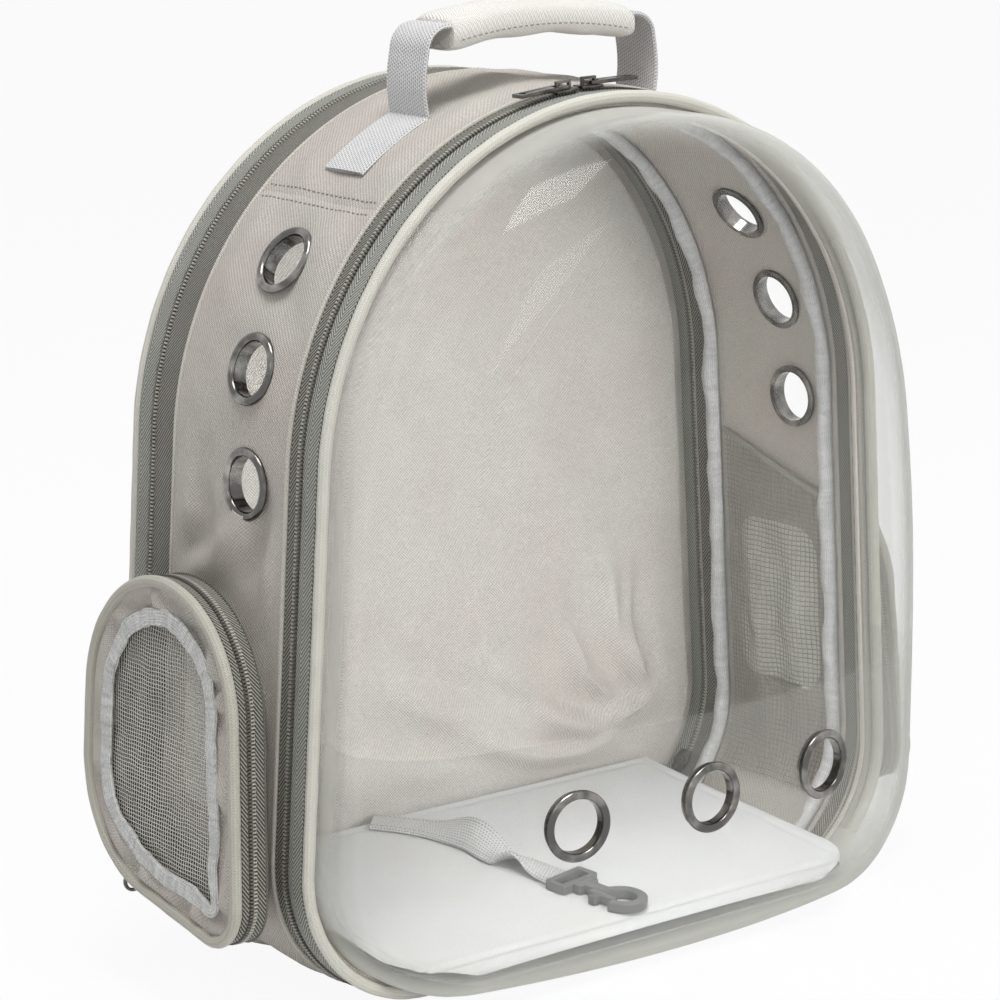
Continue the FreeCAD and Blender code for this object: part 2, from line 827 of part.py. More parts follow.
def make_pocket_net():
    x = pocket_face_level() - pocket_panel_thickness / 2 - pocket_net_thickness
    plate = dee(pocket_net_inset, x, x + pocket_net_thickness)
    field = dee(pocket_binding_inner_inset + pocket_net_edge, x, x + pocket_net_thickness)
    extent = field.BoundBox
    holes = []
    columns = int(extent.YLength / pocket_net_pitch) + 2
    rows = int(extent.ZLength / pocket_net_pitch) + 2
    for i in range(columns):
        for k in range(rows):
            y = extent.YMin + (i - 0.5) * pocket_net_pitch
            z = extent.ZMin + (k - 0.5) * pocket_net_pitch
            middle = V(x + pocket_net_thickness / 2, y + pocket_net_gap / 2, z + pocket_net_gap / 2)
            if field.isInside(middle, 0, True):
                holes.append(box(x, x + pocket_net_thickness, y, y + pocket_net_gap, z, z + pocket_net_gap))
    return on_side(plate.cut(Part.makeCompound(holes)))


def make_slider():
    """Slider with x along the zip, +y towards the fixed half and z outward from the tape."""
    half = slider_length / 2
    nose = slider_nose_width / 2
    side = slider_width / 2
    points = [(-half, -nose), (0, -side), (half, -nose), (half, nose), (0, side), (-half, nose)]
    lift0 = gap - bead_inset
    lift1 = -bead_inset - bead_thickness - gap
    upper = prism(points, lambda u, v: V(u, v, lift0), V(0, 0, slider_plate))
    lower = prism(points, lambda u, v: V(u, v, lift1), V(0, 0, -slider_plate))
    post_half = slider_post_width / 2
    post = box(-slider_post_length / 2, slider_post_length / 2, -post_half, post_half,
               lift1 - slider_plate, lift0 + slider_plate)
    lip = box(-slider_lip, slider_lip, side - slider_lip, side, -tape_inset + gap, lift0 + slider_plate)
    deck = lift0 + slider_plate
    bail_half = bail_length / 2
    bail = box(-bail_half, bail_half, -bail_width / 2, bail_width / 2, deck, deck + bail_height)
    opening = box(-bail_half + bail_bar, bail_half - bail_bar, -bail_width / 2, bail_width / 2, deck,
                  deck + bail_height - bail_bar)
    return upper.fuse([lower, post, lip, bail.cut(opening)]).removeSplitter()


def pull_axis_height():
    return gap - bead_inset + slider_plate + gap + pull_thickness / 2


def make_pull():
    """Pull lying along +x from its bar under the slider's bail."""
    low = pull_axis_height() - pull_thickness / 2
    high = low + pull_thickness
    half = pull_width / 2
    tab = box(-pull_bar / 2, pull_length, -half, half, low, high)
    rim = [e for e in tab.Edges if e.BoundBox.ZLength > pull_thickness / 2]
    tab = tab.makeFillet(pull_bar / 2, rim)
    eye = box(pull_bar / 2, pull_eye_length, -pull_eye_width / 2, pull_eye_width / 2, low, high)
    hole = Part.makeCylinder(pull_hole_radius, pull_thickness, V(pull_length - 2 * pull_hole_radius, 0, low))
    return tab.cut(eye).cut(hole)


def make_ring_pull():
    """Small wire ring in place of a pull tab, hung from the same place under the bail."""
    low = pull_axis_height() - pull_thickness / 2
    middle = V(ring_pull_radius - ring_pull_wire / 2, 0, low)
    ring = Part.makeCylinder(ring_pull_radius, pull_thickness, middle)
    return ring.cut(Part.makeCylinder(ring_pull_radius - ring_pull_wire, pull_thickness, middle))


def seated(shape, point, across, out):
    """Place a slider or pull: +y to across, z to out."""
    along = across.cross(out)
    matrix = FreeCAD.Matrix(along.x, across.x, out.x, point.x, along.y, across.y, out.y, point.y,
                            along.z, across.z, out.z, point.z, 0, 0, 0, 1)
    placed = shape.copy()
    placed.Placement = FreeCAD.Placement(matrix).multiply(placed.Placement)
    return placed


def turned_end(shape):
    flipped = shape.copy()
    flipped.rotate(V(0, 0, 0), V(0, 0, 1), 180)
    return flipped


def hung(shape):
    """Swing a pull from the tape until it hangs straight down from a pocket slider."""
    swung = shape.copy()
    swung.rotate(V(0, 0, pull_axis_height()), V(0, -1, 0), -math.degrees(pocket_slider_turn))
    return swung


def crown_seat(turn):
    out = V(math.sin(turn), 0, math.cos(turn))
    return V(0, front_chain_y, crown_z) + out * crown_radius, out


def place_front(shape, turn):
    point, out = crown_seat(turn)
    return seated(shape, point, V(0, 1, 0), out)


def place_rear(shape):
    out = V(math.cos(rear_slider_turn), 0, math.sin(rear_slider_turn))
    point = V(corner_x, rear_chain_y, corner_radius) + out * corner_radius
    return seated(shape, point, V(0, -1, 0), out)


def place_pocket(shape):
    y, v, radius = pocket_circles[1]
    out = V(0, math.cos(pocket_slider_turn), math.sin(pocket_slider_turn))
    levels = pocket_levels()
    point = V((levels[2] + levels[3]) / 2, y, v) + out * radius
    return on_side(seated(shape, point, V(-1, 0, 0), out))


def main():
    os.makedirs("parts", exist_ok=True)
    slider = make_slider()
    pull = make_pull()
    strap = make_shoulder_strap()
    webbing = make_strap_webbing()
    lock = make_ladder_lock()
    tab = make_handle_tab()
    tape0, bead0, bead1, bead2, bead3, tape1 = pocket_levels()
    nodes = {
        "top_panel": make_top_panel(),
        "base_panel": make_base_panel(),
        "base_board": make_base_board(),
        "floor_mat": make_floor_mat(),
        "side_grommets": make_side_grommets(),
        "front_zip_gusset_tape": zip_half(front_bead_start + bead_width, panel_front,
                                          front_bead_start, front_bead_start + bead_width),
        "rear_zip_gusset_tape": zip_half(panel_rear, rear_bead_end - bead_width,
                                         rear_bead_end - bead_width, rear_bead_end),
        "front_inner_binding": open_low(make_binding(panel_front + binding_width / 2)),
        "rear_inner_binding": make_binding(panel_rear),
        "handle_tabs": Part.makeCompound([tab, mirrored(tab)]),
        "handle_webbing": make_handle_webbing(),
        "handle_grip": make_handle_grip(),
        "leash_webbing": make_leash_webbing(),
        "leash_hook_base": make_leash_hook_base(),
        "leash_hook": make_leash_hook(),
        "leash_hook_gate": make_leash_hook_gate(),
        "cover_frame": make_cover_frame(),
        "cover_piping": make_piping(front_y + piping_radius),
        "cover_bubble": make_cover_bubble(),
        "cover_grommets": make_cover_grommets(),
        "front_zip_cover_tape": zip_half(frame_back, cover_tape_end, cover_tape_end, cover_bead_end),
        "back_panel": make_back_panel(),
        "back_lining": make_back_lining(),
        "back_pad": make_back_pad(),
        "back_piping": make_piping(rear_y - piping_radius),
        "rear_zip_back_tape": zip_half(back_bead_start + bead_width, plate_front,
                                       back_bead_start, back_bead_start + bead_width),
        "shoulder_strap_right": strap,
        "shoulder_strap_left": mirrored(strap),
        "strap_webbings": Part.makeCompound([webbing, mirrored(webbing)]),
        "ladder_locks": Part.makeCompound([lock, mirrored(lock)]),
        "front_slider_right": place_front(slider, front_meet_turn + front_slider_turn),
        "front_slider_left": place_front(slider, front_meet_turn - front_slider_turn),
        "front_pull_right": place_front(pull, front_meet_turn + front_slider_turn),
        "front_pull_left": place_front(turned_end(pull), front_meet_turn - front_slider_turn),
        "rear_slider": place_rear(slider),
        "rear_pull": place_rear(pull),
    }
    pairs = {
        "side_panel": make_side_panel(),
        "side_net": make_side_net(),
        "pocket_wall": make_pocket_wall(),
        "pocket_zip_wall_tape": pocket_zip_half(tape0, bead0, bead0, bead1),
        "pocket_zip_door_tape": pocket_zip_half(bead3, tape1, bead2, bead3),
        "pocket_piping": make_pocket_piping(),
        "pocket_panel": make_pocket_panel(),
        "pocket_binding": make_pocket_binding(),
        "pocket_net": make_pocket_net(),
        "pocket_slider": place_pocket(slider),
        "pocket_pull": place_pocket(hung(make_ring_pull())),
    }
    for name, shape in pairs.items():
        nodes[name + "_right"] = shape
        nodes[name + "_left"] = mirrored(shape)
    for name, shape in nodes.items():
        shape.exportStep("parts/" + name + ".step")


main()
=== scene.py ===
import bpy
import bmesh
import json
import math
from mathutils import Matrix, Vector, noise
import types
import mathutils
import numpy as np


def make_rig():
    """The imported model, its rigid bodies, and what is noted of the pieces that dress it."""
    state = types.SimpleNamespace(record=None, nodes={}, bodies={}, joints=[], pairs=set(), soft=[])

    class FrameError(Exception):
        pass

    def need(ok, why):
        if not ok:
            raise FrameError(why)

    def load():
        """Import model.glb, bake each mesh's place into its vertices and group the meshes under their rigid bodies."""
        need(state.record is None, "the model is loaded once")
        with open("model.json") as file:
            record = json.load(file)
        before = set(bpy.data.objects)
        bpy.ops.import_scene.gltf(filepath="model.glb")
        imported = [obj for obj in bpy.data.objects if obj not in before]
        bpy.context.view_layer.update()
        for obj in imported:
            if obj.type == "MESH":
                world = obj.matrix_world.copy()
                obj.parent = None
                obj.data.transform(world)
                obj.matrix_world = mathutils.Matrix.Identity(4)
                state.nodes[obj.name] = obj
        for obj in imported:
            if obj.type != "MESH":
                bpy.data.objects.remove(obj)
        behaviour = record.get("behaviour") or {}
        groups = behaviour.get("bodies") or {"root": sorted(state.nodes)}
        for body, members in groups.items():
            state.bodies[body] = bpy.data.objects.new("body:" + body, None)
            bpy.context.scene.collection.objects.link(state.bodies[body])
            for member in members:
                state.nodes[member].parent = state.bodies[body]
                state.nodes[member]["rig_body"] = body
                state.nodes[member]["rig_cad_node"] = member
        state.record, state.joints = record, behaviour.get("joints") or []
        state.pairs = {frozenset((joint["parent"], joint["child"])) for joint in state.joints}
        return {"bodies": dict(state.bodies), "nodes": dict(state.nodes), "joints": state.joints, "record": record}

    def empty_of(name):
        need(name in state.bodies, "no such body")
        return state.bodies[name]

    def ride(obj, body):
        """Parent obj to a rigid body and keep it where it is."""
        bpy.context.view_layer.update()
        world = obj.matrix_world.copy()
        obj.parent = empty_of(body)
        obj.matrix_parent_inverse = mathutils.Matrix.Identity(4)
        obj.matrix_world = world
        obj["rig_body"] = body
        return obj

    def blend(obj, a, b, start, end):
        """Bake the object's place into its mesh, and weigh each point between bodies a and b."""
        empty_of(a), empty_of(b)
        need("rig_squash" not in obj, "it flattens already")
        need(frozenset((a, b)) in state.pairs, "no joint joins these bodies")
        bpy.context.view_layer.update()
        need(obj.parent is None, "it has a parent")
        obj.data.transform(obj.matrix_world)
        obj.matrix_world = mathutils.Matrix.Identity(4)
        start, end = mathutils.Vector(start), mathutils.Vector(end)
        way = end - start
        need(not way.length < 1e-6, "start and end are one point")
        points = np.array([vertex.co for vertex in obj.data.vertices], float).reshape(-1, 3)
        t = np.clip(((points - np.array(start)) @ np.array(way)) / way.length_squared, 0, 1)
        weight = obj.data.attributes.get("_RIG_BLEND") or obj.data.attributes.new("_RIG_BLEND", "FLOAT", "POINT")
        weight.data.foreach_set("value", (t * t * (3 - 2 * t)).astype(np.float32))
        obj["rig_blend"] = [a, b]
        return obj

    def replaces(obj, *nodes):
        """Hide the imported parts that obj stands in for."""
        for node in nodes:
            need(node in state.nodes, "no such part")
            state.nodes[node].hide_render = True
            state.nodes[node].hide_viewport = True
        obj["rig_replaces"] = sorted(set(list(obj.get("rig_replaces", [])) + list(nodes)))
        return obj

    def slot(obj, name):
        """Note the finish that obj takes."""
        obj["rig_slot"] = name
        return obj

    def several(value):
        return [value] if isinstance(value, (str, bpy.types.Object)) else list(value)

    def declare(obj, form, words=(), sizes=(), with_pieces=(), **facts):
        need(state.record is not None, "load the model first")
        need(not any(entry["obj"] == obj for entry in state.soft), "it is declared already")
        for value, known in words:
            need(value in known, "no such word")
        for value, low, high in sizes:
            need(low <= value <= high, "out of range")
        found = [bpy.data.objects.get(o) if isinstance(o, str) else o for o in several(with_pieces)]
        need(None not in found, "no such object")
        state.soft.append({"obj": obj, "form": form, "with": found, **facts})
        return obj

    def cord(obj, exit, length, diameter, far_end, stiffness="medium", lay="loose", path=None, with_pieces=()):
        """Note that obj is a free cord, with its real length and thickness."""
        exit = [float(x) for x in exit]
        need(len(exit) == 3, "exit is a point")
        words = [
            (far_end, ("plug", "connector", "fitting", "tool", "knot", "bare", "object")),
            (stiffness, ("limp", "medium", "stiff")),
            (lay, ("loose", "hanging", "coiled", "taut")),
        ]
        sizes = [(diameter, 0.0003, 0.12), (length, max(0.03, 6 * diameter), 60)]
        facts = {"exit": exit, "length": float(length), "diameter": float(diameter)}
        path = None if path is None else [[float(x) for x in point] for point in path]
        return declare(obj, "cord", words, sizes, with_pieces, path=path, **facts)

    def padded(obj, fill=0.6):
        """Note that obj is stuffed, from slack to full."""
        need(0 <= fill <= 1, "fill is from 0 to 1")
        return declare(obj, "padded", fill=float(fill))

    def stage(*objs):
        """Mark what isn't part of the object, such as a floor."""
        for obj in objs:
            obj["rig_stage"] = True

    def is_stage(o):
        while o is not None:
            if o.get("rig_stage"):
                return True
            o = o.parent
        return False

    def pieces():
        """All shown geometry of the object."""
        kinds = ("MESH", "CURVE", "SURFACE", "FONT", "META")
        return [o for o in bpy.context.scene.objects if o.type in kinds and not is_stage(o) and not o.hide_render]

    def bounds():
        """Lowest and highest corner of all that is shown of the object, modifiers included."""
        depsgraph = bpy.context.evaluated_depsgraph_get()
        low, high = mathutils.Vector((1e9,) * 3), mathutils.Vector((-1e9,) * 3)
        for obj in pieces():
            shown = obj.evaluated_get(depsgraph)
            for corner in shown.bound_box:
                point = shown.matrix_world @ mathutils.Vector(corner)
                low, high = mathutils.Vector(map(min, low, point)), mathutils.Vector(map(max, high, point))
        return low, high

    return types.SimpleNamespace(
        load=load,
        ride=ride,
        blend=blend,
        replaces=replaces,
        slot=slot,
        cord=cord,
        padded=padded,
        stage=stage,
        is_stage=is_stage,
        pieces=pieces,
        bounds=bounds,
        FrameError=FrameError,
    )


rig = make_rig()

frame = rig.load()
cad_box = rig.bounds()

# Lengths below are in millimetres and become metres when a mesh is made
MM = 0.001

# The body's arch, as in the part's source
CROWN_Z = 216.0
CROWN_R = 150.0
CORNER_X = 98.0
CORNER_R = 62.0
WALL = 3.0
SEAM_TURN = math.radians(46.0)
LEAN = math.acos((CROWN_R - CORNER_R) / math.hypot(CORNER_X, CROWN_Z - CORNER_R))
LEAN -= math.atan2(CROWN_Z - CORNER_R, CORNER_X)
SIDE_FOOT = CORNER_X + CORNER_R * math.cos(LEAN) + math.tan(LEAN) * CORNER_R * (1 + math.sin(LEAN))

# Levels from the front piping to the back piping
FRONT_Y = -70.0
FRAME_FRONT = -63.4
FRAME_BACK = -61.0
COVER_TAPE_END = -56.0
FRONT_CHAIN = -53.6
FRONT_TAPE_START = -51.2
PANEL_FRONT = -45.0
PANEL_REAR = 35.0
REAR_TAPE_END = 50.2
REAR_CHAIN = 52.6
BACK_TAPE_START = 55.0
PLATE_FRONT = 61.0
PLATE_BACK = 63.4
REAR_Y = 70.0
PAD_BACK = 72.4
PIPE_R = 3.2
PIPE_INSET = 3.4


class Path:
    """Closed outline round circles given anticlockwise, walked by its length."""

    def __init__(self, circles, lift):
        self.lift = lift
        self.parts = []
        count = len(circles)
        normals = []
        for i in range(count):
            u1, v1, r1 = circles[i]
            u2, v2, r2 = circles[(i + 1) % count]
            span = math.hypot(u2 - u1, v2 - v1)
            du, dv = (u2 - u1) / span, (v2 - v1) / span
            lean = (r1 - r2) / span
            flat = math.sqrt(1 - lean * lean)
            normals.append((du * lean + dv * flat, dv * lean - du * flat))
        for i in range(count):
            j = (i + 1) % count
            (u1, v1, r1), (u2, v2, r2) = circles[i], circles[j]
            nu, nv = normals[i]
            a, b = (u1 + r1 * nu, v1 + r1 * nv), (u2 + r2 * nu, v2 + r2 * nv)
            self.parts.append(("line", a, b, (nu, nv), math.hypot(b[0] - a[0], b[1] - a[1])))
            a0 = math.atan2(nv, nu)
            a1 = math.atan2(normals[j][1], normals[j][0])
            if a1 < a0:
                a1 += 2 * math.pi
            self.parts.append(("arc", (u2, v2), r2, (a0, a1), r2 * (a1 - a0)))
        self.length = sum(p[4] for p in self.parts)

    def start(self, index):
        return sum(p[4] for p in self.parts[:index])

    def at(self, s):
        s = s % self.length
        for kind, a, b, c, length in self.parts:
            if s <= length:
                break
            s -= length
        share = min(s / length, 1.0)
        if kind == "line":
            return a[0] + (b[0] - a[0]) * share, a[1] + (b[1] - a[1]) * share, c[0], c[1]
        turn = c[0] + (c[1] - c[0]) * share
        return a[0] + b * math.cos(turn), a[1] + b * math.sin(turn), math.cos(turn), math.sin(turn)

    def put(self, s, d, w):
        u, v, nu, nv = self.at(s)
        return self.lift(u - d * nu, v - d * nv, w)

    def polygon(self, inset, count):
        points = []
        for i in range(count):
            u, v, nu, nv = self.at(self.length * i / count)
            points.append((u - inset * nu, v - inset * nv))
        return points


def side_lift(sign):
    """Pocket places: u along y, v up the side, w outward from it."""
    def lift(u, v, w):
        x = w * math.cos(LEAN) - v * math.sin(LEAN) + SIDE_FOOT
        return Vector((sign * x, u, w * math.sin(LEAN) + v * math.cos(LEAN)))
    return lift


BAG = Path([(-CORNER_X, CORNER_R, CORNER_R), (CORNER_X, CORNER_R, CORNER_R), (0, CROWN_Z, CROWN_R)],
           lambda u, v, w: Vector((u, w, v)))
POCKET_CIRCLES = [(-40.0, 51.0, 18.5), (4.0, 94.0, 54.0), (3.0, 120.0, 55.0)]
POCKETS = {"right": Path(POCKET_CIRCLES, side_lift(1)), "left": Path(POCKET_CIRCLES, side_lift(-1))}
SIGNS = {"right": 1, "left": -1}
ZIP_SPAN = (BAG.start(1), BAG.length)
CROWN_MID = BAG.start(3) + BAG.parts[3][4] / 2
SEAM_RUN = CROWN_R * (math.pi / 2 - SEAM_TURN)


def linked(name, data):
    """New object in the scene."""
    obj = bpy.data.objects.new(name, data)
    bpy.context.scene.collection.objects.link(obj)
    return obj


def mesh_object(name, verts, faces, uvs=None, material=None, sharp=40.0, fix=True):
    """Mesh piece from points in millimetres; uvs holds one pair per face corner, in millimetres."""
    mesh = bpy.data.meshes.new(name)
    mesh.from_pydata([(v[0] * MM, v[1] * MM, max(v[2], 0.0) * MM) for v in verts], [], faces)
    if uvs:
        layer = mesh.uv_layers.new(name="weave")
        layer.data.foreach_set("uv", [c * MM for pair in uvs for c in pair])
    if fix:
        work = bmesh.new()
        work.from_mesh(mesh)
        bmesh.ops.recalc_face_normals(work, faces=work.faces)
        work.to_mesh(mesh)
        work.free()
    mesh.polygons.foreach_set("use_smooth", [True] * len(mesh.polygons))
    mesh.set_sharp_from_angle(angle=math.radians(sharp))
    if material:
        mesh.materials.append(material)
    return linked(name, mesh)


def skin(name, rows, us, vs, material, round_rows=False, sharp=40.0):
    """Rows of closed sections joined into one closed skin; us and vs are weave coordinates."""
    count, width = len(rows), len(rows[0])
    verts = [p for row in rows for p in row]
    faces, uvs = [], []
    for i in range(count if round_rows else count - 1):
        j = (i + 1) % count
        for k in range(width):
            m = (k + 1) % width
            faces.append((i * width + k, i * width + m, j * width + m, j * width + k))
            u0, u1, v0, v1 = us[i], us[i + 1], vs[k], vs[k + 1]
            uvs += [(u0, v0), (u0, v1), (u1, v1), (u1, v0)]
    if not round_rows:
        for i in (0, count - 1):
            faces.append(tuple(i * width + k for k in range(width)))
            uvs += [(us[i], vs[k]) for k in range(width)]
    return mesh_object(name, verts, faces, uvs, material, sharp)


def lengths(points):
    """Running length round a closed section, with the closing run at the end."""
    total = [0.0]
    for a, b in zip(points, points[1:] + points[:1]):
        total.append(total[-1] + math.hypot(b[0] - a[0], b[1] - a[1]))
    return total


def sweep(name, path, profile, material, span, step, wave=None, sharp=40.0):
    """Carry a section of (inset, across) points along a path, or all round it when span is None.

    wave, where given, moves each point; it takes the length, inset, level and number of the point.
    """
    s0, s1 = span or (0.0, path.length)
    count = max(12, int(round((s1 - s0) / step)))
    us = [s0 + (s1 - s0) * i / count for i in range(count + 1)]
    rows = []
    for s in us[:count] if span is None else us:
        row = []
        for k, (d, w) in enumerate(profile):
            if wave:
                d, w = wave(s, d, w, k)
            row.append(path.put(s, d, w))
        rows.append(row)
    return skin(name, rows, us, lengths(profile), material, span is None, sharp)


def slab(d0, d1, w0, w1, radius, step=None):
    """Rounded rectangle in (inset, across), with long sides divided at step."""
    r = min(radius, abs(d1 - d0) / 2, abs(w1 - w0) / 2)
    points = []
    corners = ((d0 + r, w0 + r, 180), (d1 - r, w0 + r, 270), (d1 - r, w1 - r, 0), (d0 + r, w1 - r, 90))
    for cd, cw, turn in corners:
        for k in range(3):
            a = math.radians(turn + 45 * k)
            points.append((cd + r * math.cos(a), cw + r * math.sin(a)))
    if not step:
        return points
    out = []
    for a, b in zip(points, points[1:] + points[:1]):
        run, rise = b[0] - a[0], b[1] - a[1]
        pieces = max(1, int(math.hypot(run, rise) / step))
        out += [(a[0] + run * i / pieces, a[1] + rise * i / pieces) for i in range(pieces)]
    return out


def circle(sides):
    """Cosine and sine at even steps round a circle."""
    turns = [2 * math.pi * k / sides for k in range(sides)]
    return [(math.cos(a), math.sin(a)) for a in turns]


def disc(cd, cw, radius, sides):
    """Round section in (inset, across)."""
    return [(cd + radius * c, cw + radius * s) for c, s in circle(sides)]


def ripple(point, scale, amount, seed=0.0):
    """Smooth noise at a place; the seed shifts it."""
    return amount * noise.noise(Vector(point) / scale + Vector((seed, seed * 1.7, -seed)))


def bell(x, middle, width):
    """Bell curve, 1 at its middle."""
    return math.exp(-((x - middle) / width) ** 2)


def round_end(share):
    """Height of a quarter round, 0 at its rim and 1 from a share of 1 on."""
    return math.sqrt(max(0.0, 1 - (1 - share) ** 2))


def squarer(value, power):
    """Cosine or sine pushed toward the corners of a rounded square."""
    return math.copysign(abs(value) ** power, value)


def smooth_share(x, low, high):
    """0 up to low and 1 from high, with a smooth change between."""
    t = min(max((x - low) / (high - low), 0.0), 1.0)
    return t * t * (3 - 2 * t)


def band(name, spots, tangents, sides, width, thick, material, arch):
    """Flat webbing along spots; sides gives its width direction, arch crowns its faces."""
    count = len(spots)
    section = []
    for k in range(7):
        v = (k / 6 - 0.5) * width
        section.append((v, thick / 2 + arch * (1 - (2 * k / 6 - 1) ** 2)))
    section += [(width / 2 + thick * 0.3, 0.0)]
    section += [(-v, -h) for v, h in section[:7]]
    section += [(-width / 2 - thick * 0.3, 0.0)]
    rows, us = [], [0.0]
    for i in range(count):
        side = sides[i].normalized()
        up = tangents[i].normalized().cross(side).normalized()
        rows.append([spots[i] + side * v + up * h for v, h in section])
        if i:
            us.append(us[-1] + (spots[i] - spots[i - 1]).length)
    return skin(name, rows, us + [us[-1]], lengths(section), material, False, 50.0)


def along(points):
    """Tangents of a run of points."""
    out = []
    for i in range(len(points)):
        a, b = points[max(i - 1, 0)], points[min(i + 1, len(points) - 1)]
        out.append((b - a).normalized())
    return out


class Bits:
    """Many small closed pieces, such as stitches or teeth, gathered into one mesh."""

    def __init__(self):
        self.verts, self.faces = [], []

    def add(self, shape, faces, origin, x, y, z):
        base = len(self.verts)
        self.verts += [origin + x * a + y * b + z * c for a, b, c in shape]
        self.faces += [tuple(base + i for i in f) for f in faces]

    def make(self, name, material, sharp=60.0):
        return mesh_object(name, self.verts, self.faces, None, material, sharp)


RICE = [(-1, 0, 0), (-.6, .8, .2), (-.6, 0, 1), (-.6, -.8, .2),
        (.6, .8, .2), (.6, 0, 1), (.6, -.8, .2), (1, 0, 0)]
RICE_FACES = [(0, 2, 1), (0, 3, 2), (0, 1, 3), (1, 2, 5, 4), (2, 3, 6, 5), (3, 1, 4, 6),
              (7, 4, 5), (7, 5, 6), (7, 6, 4)]
TOOTH = [(-1, -1, 0), (1, -1, 0), (1, 1, 0), (-1, 1, 0),
         (-.55, -.9, 1), (.55, -.9, 1), (.55, .75, 1), (-.55, .75, 1)]
TOOTH_FACES = [(3, 2, 1, 0), (4, 5, 6, 7), (0, 1, 5, 4), (1, 2, 6, 5), (2, 3, 7, 6), (3, 0, 4, 7)]


def stitch_line(bits, points, out, pitch, length, thick):
    """Thread along a run of points, standing on the side that out gives."""
    carry = pitch / 2
    for a, b in zip(points, points[1:]):
        span = (b - a).length
        if span == 0:
            continue
        x = (b - a) / span
        while carry < span:
            across = out.cross(x).normalized() * thick
            bits.add(RICE, RICE_FACES, a + x * carry, x * (length / 2), across, out * thick)
            carry += pitch
        carry -= span


CHAIN_HALF = 1.7
TOOTH_LAP = 0.3
TOOTH_TOP = 0.2
TOOTH_FOOT = TOOTH_TOP + 1.7


def teeth_run(path, chain, edge, span, pitch, shift):
    """One row of a coil zip: teeth from the tape's edge to just past the middle."""
    bits = Bits()
    s = span[0] + pitch * (0.5 + shift)
    end = chain + math.copysign(TOOTH_LAP, chain - edge)
    mid = (edge + end) / 2
    while s < span[1] - pitch / 2:
        a = path.put(s - 0.5, TOOTH_FOOT, mid)
        b = path.put(s + 0.5, TOOTH_FOOT, mid)
        origin = (a + b) / 2
        x = (b - a).normalized()
        y = (path.put(s, TOOTH_FOOT, end) - path.put(s, TOOTH_FOOT, edge)) / 2
        z = path.put(s, TOOTH_TOP, mid) - origin
        bits.add(TOOTH, TOOTH_FACES, origin, x * (pitch * 0.41), y, z)
        s += pitch
    return bits


def placed(obj, body, slot, *nodes):
    """Ride a piece on its body, in a material slot, in place of the nodes that it draws."""
    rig.ride(obj, body)
    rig.slot(obj, slot)
    if nodes:
        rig.replaces(obj, *nodes)
    return obj


# Materials
class Nodes:
    """Short calls to add nodes to a node tree."""

    def __init__(self, tree):
        self.tree = tree

    def node(self, kind, settings=None, **inputs):
        made = self.tree.nodes.new(kind)
        for key, value in (settings or {}).items():
            setattr(made, key, value)
        for key, value in inputs.items():
            numbered = key[0] == "i" and key[1:].isdigit()
            self.feed(made.inputs[int(key[1:]) if numbered else key.replace("_", " ")], value)
        return made

    def feed(self, socket, value):
        if isinstance(value, bpy.types.NodeSocket):
            self.tree.links.new(value, socket)
        else:
            socket.default_value = value

    def math(self, operation, a, b=0.0, c=None):
        made = self.node("ShaderNodeMath", {"operation": operation}, i0=a, i1=b)
        if c is not None:
            self.feed(made.inputs[2], c)
        return made.outputs[0]

    def total(self, *terms):
        """Sum of values, each times its share."""
        (value, share), *rest = reversed(terms)
        out = self.math("MULTIPLY", value, share)
        for value, share in rest:
            out = self.math("MULTIPLY_ADD", value, share, out)
        return out

    def noise(self, where, scale, detail, rough):
        made = self.node("ShaderNodeTexNoise", Vector=where, Scale=scale, Detail=detail, Roughness=rough)
        return made.outputs[0]

    def mix(self, share, a, b, blend="MIX"):
        made = self.node("ShaderNodeMix", {"data_type": "RGBA", "blend_type": blend}, i0=share, i6=a, i7=b)
        return made.outputs[2]

    def mix_shader(self, share, a, b):
        return self.node("ShaderNodeMixShader", Fac=share, i1=a, i2=b).outputs[0]

    def band(self, value, low, high, to_low=0.0, to_high=1.0):
        return self.node("ShaderNodeMapRange", Value=value, i1=low, i2=high, i3=to_low, i4=to_high).outputs[0]

    def place(self, weave=True):
        return self.node("ShaderNodeTexCoord").outputs["UV" if weave else "Object"]

    def split(self, where):
        return self.node("ShaderNodeSeparateXYZ", Vector=where).outputs

    def ray(self, kind):
        return self.node("ShaderNodeLightPath").outputs[f"Is {kind} Ray"]

    def seen(self):
        """1 for the rays that show the white ground: to the camera, off metal and through glass."""
        behind = self.math("MAXIMUM", self.ray("Glossy"), self.ray("Transmission"))
        return self.math("MAXIMUM", self.ray("Camera"), behind)


class Look(Nodes):
    """A Principled material."""

    def __init__(self, name, **sockets):
        self.material = bpy.data.materials.new(name)
        self.material.use_nodes = True
        super().__init__(self.material.node_tree)
        self.shader = self.tree.nodes["Principled BSDF"]
        for key, value in sockets.items():
            self.shader.inputs[key.replace("_", " ")].default_value = value

    def weave(self):
        """Coordinates along and across the cloth, in metres."""
        u, v, _ = self.split(self.place())
        return u, v

    def bump(self, height, strength, distance):
        made = self.node("ShaderNodeBump", Height=height, Strength=strength, Distance=distance)
        self.feed(self.shader.inputs["Normal"], made.outputs[0])

    def colour(self, value):
        self.feed(self.shader.inputs["Base Color"], value)

    def rough(self, value):
        self.feed(self.shader.inputs["Roughness"], value)

    def surface(self, shader):
        self.feed(self.tree.nodes["Material Output"].inputs["Surface"], shader)


def tone(red, green, blue):
    """Display colour, 0 to 255, as a linear colour."""
    def linear(c):
        c = c / 255
        return c / 12.92 if c <= 0.04045 else ((c + 0.055) / 1.055) ** 2.4
    return linear(red), linear(green), linear(blue), 1.0


